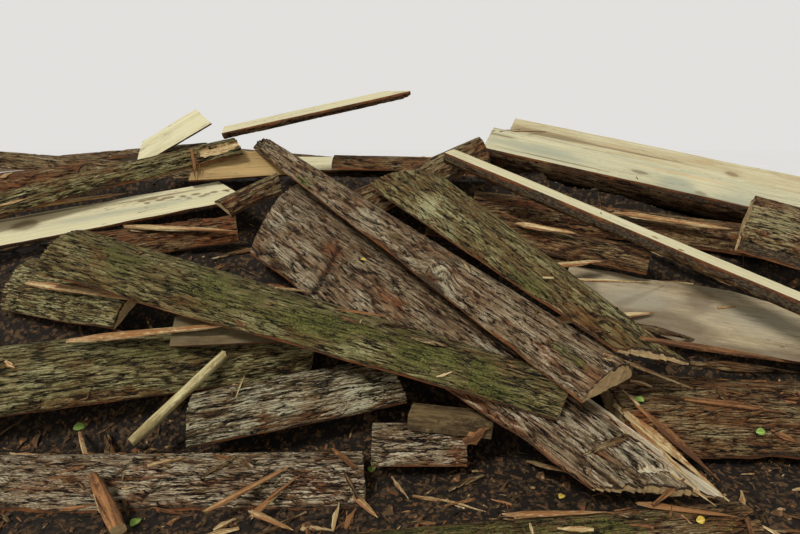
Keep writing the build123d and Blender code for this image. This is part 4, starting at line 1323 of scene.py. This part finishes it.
def inside_box(mesh):
    """Keeps every point a little inside the model's own box."""
    margin, lowest = 0.001, 0.0003
    co = np.empty(len(mesh.vertices) * 3)
    mesh.vertices.foreach_get("co", co)
    low, high = np.array(cad_box[0]) + margin, np.array(cad_box[1]) - margin
    low[2] = lowest
    co = np.clip(co.reshape(-1, 3), low, high)
    mesh.vertices.foreach_set("co", co.reshape(-1))
    mesh.update()


for name, mesh in spreads:
    inside_box(mesh)
    place_piece(name, mesh, "bark_litter")


# Bits that lie loose on the heap: splinters, scraps of torn bark, twigs and leaves

heap_top, bed_top = joined_tree(shapes + [bed]), joined_tree([bed])


def in_sight(px, py):
    """Where the camera's sight line through a pixel meets the heap, or just passes over it."""
    usual_distance = 3.4
    line = Vector(sight(px, py))
    hit = heap_top.ray_cast(Vector(eye), line)[0]
    return np.array(hit or heap_top.find_nearest(Vector(eye) + line * usual_distance)[0])


def lie_of(start, stop):
    """Directions along, across and up for a straight bit on the heap, and how far it must rise."""
    reach = 0.05
    along = unit(stop - start)
    places = [start + (stop - start) * share for share in np.linspace(0, 1, 7)]
    up = np.zeros(3)
    for place in places:
        normal = np.array(heap_top.find_nearest(Vector(place))[1])
        up += normal if normal[2] + normal @ unit(eye - place) > 0 else -normal
    across = unit(np.cross(up, along))
    up = np.cross(along, across)
    rises = []
    for place in places:
        hit = heap_top.ray_cast(Vector(place + reach * up), Vector(-up), 2 * reach)[0]
        rises += [(np.array(hit) - place) @ up] if hit else []
    return along, across, up, float(np.percentile(rises, 75)) if rises else 0.0


def tube(shape, centres, y, z, across, up, seed):
    """A closed bit: a ring of points about each centre, joined along and shut at both ends."""
    places = centres[:, None, :] + y[..., None] * across + z[..., None] * up
    steps = np.linalg.norm(np.diff(centres, axis=0), axis=1)
    run = np.concatenate([[0], np.cumsum(steps)])[:, None] + 0 * y
    ids = shape.points(places.reshape(-1, 3), 0.55, chance(np.arange(y.size), 3, seed), z,
                       (0.05, 0.2, 0.3), run + 1.7 * seed, y + 0.6 * z, y, z).reshape(y.shape)
    shape.rings(ids, 0, 0)


def splinter(shape, start, stop, width, thick, seed, tips=(0.5, 0.85)):
    """A thin split piece with ragged sides and pointed ends."""
    rings, sides = 7, 5
    across, up, rise = lie_of(start, stop)[1:]
    u = np.linspace(0, 1, rings)[:, None]
    turn = turns(sides)
    wide = (1 - tips[0] * ramp(1 - u, 0.6, 1)) * (1 - tips[1] * ramp(u, 0.35, 1))
    wide = wide * (0.7 + 0.5 * chance(np.arange(rings), 1, seed)[:, None])
    swing = 0.25 * width * swell(u * 2.3, 0.5, seed)
    y = 0.5 * width * wide * np.cos(turn) + swing
    z = 0.5 * thick * (0.5 + 0.5 * wide) * (1 + np.sin(turn))
    z = z + 0.2 * thick * chance(np.arange(rings), 2, seed)[:, None]
    tube(shape, start + (stop - start) * u + rise * up, y, z, across, up, seed)


def twig(shape, pixels, radius, seed):
    """A thin round twig that follows the heap through the places seen at some pixels."""
    rings, sides = 13, 6
    seen = [in_sight(px, py) for px, py in pixels]
    across, up, rise = lie_of(seen[0], seen[-1])[1:]
    share = np.linspace(0, len(seen) - 1, rings)
    centres = np.column_stack([np.interp(share, range(len(seen)), [p[k] for p in seen])
                               for k in range(3)]) + up * (max(rise, 0) + radius)
    size = radius * (1 - 0.6 * np.linspace(0, 1, rings))[:, None]
    turn = turns(sides)
    kink = 0.8 * radius * swell(share[:, None] * 2.1, 0.5, seed)
    tube(shape, centres, size * np.cos(turn) + kink, size * np.sin(turn), across, up, seed)


def leaf(shape, px, py, length, turned, seed):
    """A folded leaf seen at a pixel."""
    fold, skin = 0.25, 0.0003
    middle = in_sight(px, py)
    reach = np.array([math.cos(turned), math.sin(turned), 0.0]) * length / 2
    across, up, rise = lie_of(middle - reach, middle + reach)[1:]
    u = np.linspace(0.02, 0.98, 10)[:, None]
    half = 0.33 * length * np.sin(math.pi * u ** 0.8) ** 0.9 + 0.0006
    y = half * np.array([[-1, -0.5, 0, 0.5, 1, 0.5, 0, -0.5]])
    z = skin * np.array([[0, 1, 1, 1, 0, -1, -1, -1]]) + fold * np.abs(y)
    z = z + 0.12 * length * np.sin(math.pi * u) + 0.001
    tube(shape, middle - reach + 2 * reach * u + rise * up, y, z, across, up, seed)


bits = {key: Shape() for key in ("split_wood", "torn_bark", "brown_bark", "green_leaf", "yellow_leaf")}

# Splinters and scraps seen in the picture: finish, both ends by pixel, width and thickness
seen_bits = (
    ("torn_bark", 190, 150, 196, 180, 0.020, 0.004), ("torn_bark", 197, 150, 201, 176, 0.014, 0.004),
    ("torn_bark", 186, 152, 189, 170, 0.010, 0.003), ("split_wood", 0, 206, 34, 197, 0.012, 0.006),
    ("split_wood", 0, 178, 13, 174, 0.040, 0.010), ("torn_bark", 20, 152, 60, 148, 0.012, 0.005),
    ("torn_bark", 70, 146, 104, 151, 0.010, 0.004), ("torn_bark", 112, 330, 125, 333, 0.018, 0.005),
    ("split_wood", 5, 362, 15, 368, 0.022, 0.005), ("torn_bark", 416, 158, 432, 151, 0.030, 0.006),
    ("torn_bark", 482, 124, 520, 130, 0.016, 0.006), ("torn_bark", 502, 121, 546, 132, 0.012, 0.006),
    ("torn_bark", 500, 218, 563, 248, 0.014, 0.008), ("split_wood", 540, 282, 660, 286, 0.018, 0.008),
    ("split_wood", 689, 208, 720, 219, 0.022, 0.010), ("split_wood", 130, 234, 247, 246, 0.020, 0.008),
    ("torn_bark", 683, 401, 785, 413, 0.030, 0.014), ("split_wood", 690, 399, 780, 410, 0.006, 0.008),
    ("split_wood", 275, 288, 311, 292, 0.022, 0.006), ("torn_bark", 268, 284, 300, 291, 0.016, 0.005),
    ("torn_bark", 336, 311, 395, 320, 0.016, 0.006), ("torn_bark", 465, 441, 491, 428, 0.045, 0.018),
    ("split_wood", 528, 466, 580, 480, 0.026, 0.010), ("torn_bark", 215, 455, 236, 462, 0.030, 0.006),
    ("torn_bark", 222, 452, 234, 452, 0.014, 0.004), ("torn_bark", 770, 430, 799, 444, 0.022, 0.006),
    ("split_wood", 600, 356, 690, 392, 0.026, 0.008), ("split_wood", 630, 382, 652, 388, 0.030, 0.014),
    ("split_wood", 236, 398, 246, 372, 0.008, 0.004), ("torn_bark", 236, 320, 246, 330, 0.014, 0.004),
    ("torn_bark", 636, 404, 718, 482, 0.034, 0.012), ("split_wood", 616, 405, 729, 504, 0.036, 0.014),
    ("split_wood", 634, 428, 700, 492, 0.022, 0.010), ("split_wood", 668, 472, 714, 506, 0.018, 0.008),
    ("split_wood", 440, 500, 486, 512, 0.014, 0.006), ("split_wood", 333, 532, 338, 503, 0.020, 0.010),
    ("torn_bark", 345, 530, 356, 508, 0.024, 0.010), ("torn_bark", 268, 500, 300, 476, 0.020, 0.007),
    ("split_wood", 214, 532, 236, 520, 0.030, 0.012), ("torn_bark", 60, 510, 96, 505, 0.016, 0.005),
    ("torn_bark", 150, 508, 190, 516, 0.014, 0.005), ("brown_bark", 592, 330, 700, 350, 0.060, 0.020),
    ("torn_bark", 640, 346, 798, 368, 0.050, 0.016), ("brown_bark", 690, 364, 798, 376, 0.055, 0.020),
    ("brown_bark", 106, 442, 127, 522, 0.045, 0.020), ("split_wood", 82, 440, 104, 520, 0.022, 0.012),
    ("split_wood", 392, 478, 408, 500, 0.016, 0.006), ("torn_bark", 600, 240, 606, 216, 0.008, 0.004))
for seed, (key, x0, y0, x1, y1, width, thick) in enumerate(seen_bits):
    splinter(bits[key], in_sight(x0, y0), in_sight(x1, y1), width, thick, 300 + seed)
for seed, (radius, pixels) in enumerate((
        (0.004, ((0, 441), (18, 428), (34, 418), (50, 400))),
        (0.003, ((215, 263), (240, 268), (262, 278))), (0.004, ((735, 524), (752, 518), (765, 510))),
        (0.003, ((598, 196), (601, 214), (605, 232))), (0.003, ((88, 398), (92, 386))),
        (0.004, ((740, 246), (742, 268))))):
    twig(bits["brown_bark"], pixels, radius, 400 + seed)
for seed, (key, *place_and_turn) in enumerate((
        ("green_leaf", 80, 428, 0.045, 0.4), ("green_leaf", 136, 523, 0.040, 1.2),
        ("green_leaf", 640, 402, 0.035, 2.2), ("green_leaf", 760, 432, 0.035, 0.1),
        ("green_leaf", 372, 470, 0.040, 1.5), ("yellow_leaf", 562, 497, 0.030, 0.8),
        ("yellow_leaf", 363, 262, 0.030, 2.6), ("yellow_leaf", 700, 520, 0.030, 0.3))):
    leaf(bits[key], *place_and_turn, 500 + seed)


def strewn(count, low, high, longest, seed, bed_only=False):
    """Small splinters and scraps let down at random places, or only where the bed lies open."""
    shortest, steepest, open_within = 0.022, 0.45, 0.01
    for number in range(count):
        x, y, size, turn, kind = (float(chance(number, k, seed)) for k in range(5))
        x, y = low[0] + (high[0] - low[0]) * x, low[1] + (high[1] - low[1]) * y
        length = shortest + (longest - shortest) * size ** 3
        reach = np.array([math.cos(turn * 6.3), math.sin(turn * 6.3)]) * length / 2
        ends = []
        for side in (-1, 1):
            above = Vector((x + side * reach[0], y + side * reach[1], 2.0))
            hit, bed_hit = (tree.ray_cast(above, straight_down)[0] for tree in (heap_top, bed_top))
            if hit and bed_hit and (not bed_only or hit.z - bed_hit.z < open_within):
                ends.append(np.array(hit))
        if len(ends) == 2 and abs(ends[0][2] - ends[1][2]) < steepest * length:
            key = "torn_bark" if kind < 0.22 else "split_wood" if kind < 0.38 else "brown_bark"
            width = 0.005 + 0.11 * length * (0.4 + size)
            splinter(bits[key], *ends, width, 0.003 + 0.05 * length, seed + number,
                     (0.2 + 0.5 * kind, 0.7))


strewn(560, (-2.75, -1.76), (2.75, -1.12), 0.17, 600)
strewn(140, (0.9, -1.45), (2.6, -0.8), 0.12, 2600)
strewn(90, (-2.6, -1.1), (1.2, 0.0), 0.07, 1600)
strewn(900, (-2.0, -1.1), (1.6, 0.1), 0.36, 3600, True)
for key, shape in bits.items():
    mesh = shape.mesh("loose_" + key)
    mesh.materials.append(material[key])
    inside_box(mesh)
    slot = "split_wood" if key in ("split_wood", "torn_bark") else "bark_litter"
    place_piece("loose_" + key, mesh, slot)


# Floor, light and camera

def studio_floor(reach=40.0, level=-0.002):
    """A pale floor with a faint cloudiness."""
    mesh = bpy.data.meshes.new("floor")
    corners = [(x * reach, y * reach, level) for x, y in ((-1, -1), (1, -1), (1, 1), (-1, 1))]
    mesh.from_pydata(corners, [], [(0, 1, 2, 3)])
    mesh.update()
    paint = bpy.data.materials.new("pale_floor")
    paint.use_nodes = True
    nodes = Nodes(paint.node_tree)
    shader = nodes.tree.nodes["Principled BSDF"]
    cloud = nodes.noise(nodes.out("ShaderNodeTexCoord", "Object"), (0.5, 0.5, 0.5), 3, 0.5)
    tone = nodes.mix(cloud, tint(226, 224, 220), tint(234, 232, 229))
    nodes.tree.links.new(tone.output, shader.inputs["Base Color"])
    shader.inputs["Roughness"].default_value = 0.9
    mesh.materials.append(paint)
    floor_object = put_in("floor", mesh)


def studio_light():
    """Two wide suns and a soft surround, which looks brighter to the camera than it shines."""
    world = bpy.data.worlds.new("soft_studio")
    world.use_nodes = True
    nodes = Nodes(world.node_tree)
    rays = nodes.add("ShaderNodeLightPath").outputs
    camera, glossy, through = (Value(nodes, rays[key]) for key in (
        "Is Camera Ray", "Is Glossy Ray", "Is Transmission Ray"))
    seen = camera.maths("MAXIMUM", glossy.maths("MAXIMUM", through))
    tone = nodes.mix(seen, (0.36, 0.36, 0.36, 1), (0.76, 0.75, 0.73, 1))
    nodes.tree.links.new(tone.output, nodes.tree.nodes["Background"].inputs["Color"])
    bpy.context.scene.world = world
    for name, strength, spread, turn in (("high_soft_light", 2.2, 14, (36, -26, 0)),
                                         ("front_soft_light", 0.35, 60, (62, 10, 0))):
        lamp = bpy.data.lights.new(name, "SUN")
        lamp.energy = strength
        lamp.angle = math.radians(spread)
        put_in(name, lamp).rotation_euler = [math.radians(t) for t in turn]


def studio_camera(sensor=36.0):
    """The camera, at eye height before the heap."""
    camera = bpy.data.cameras.new("camera")
    camera.sensor_width = sensor
    camera.lens = focal * sensor / picture_width
    holder = put_in("camera", camera)
    holder.location = eye
    holder.rotation_euler = (math.radians(90) - pitch, 0, 0)
    bpy.context.scene.camera = holder
    bpy.context.scene.view_settings.view_transform = "Standard"


studio_floor()
studio_light()
studio_camera()
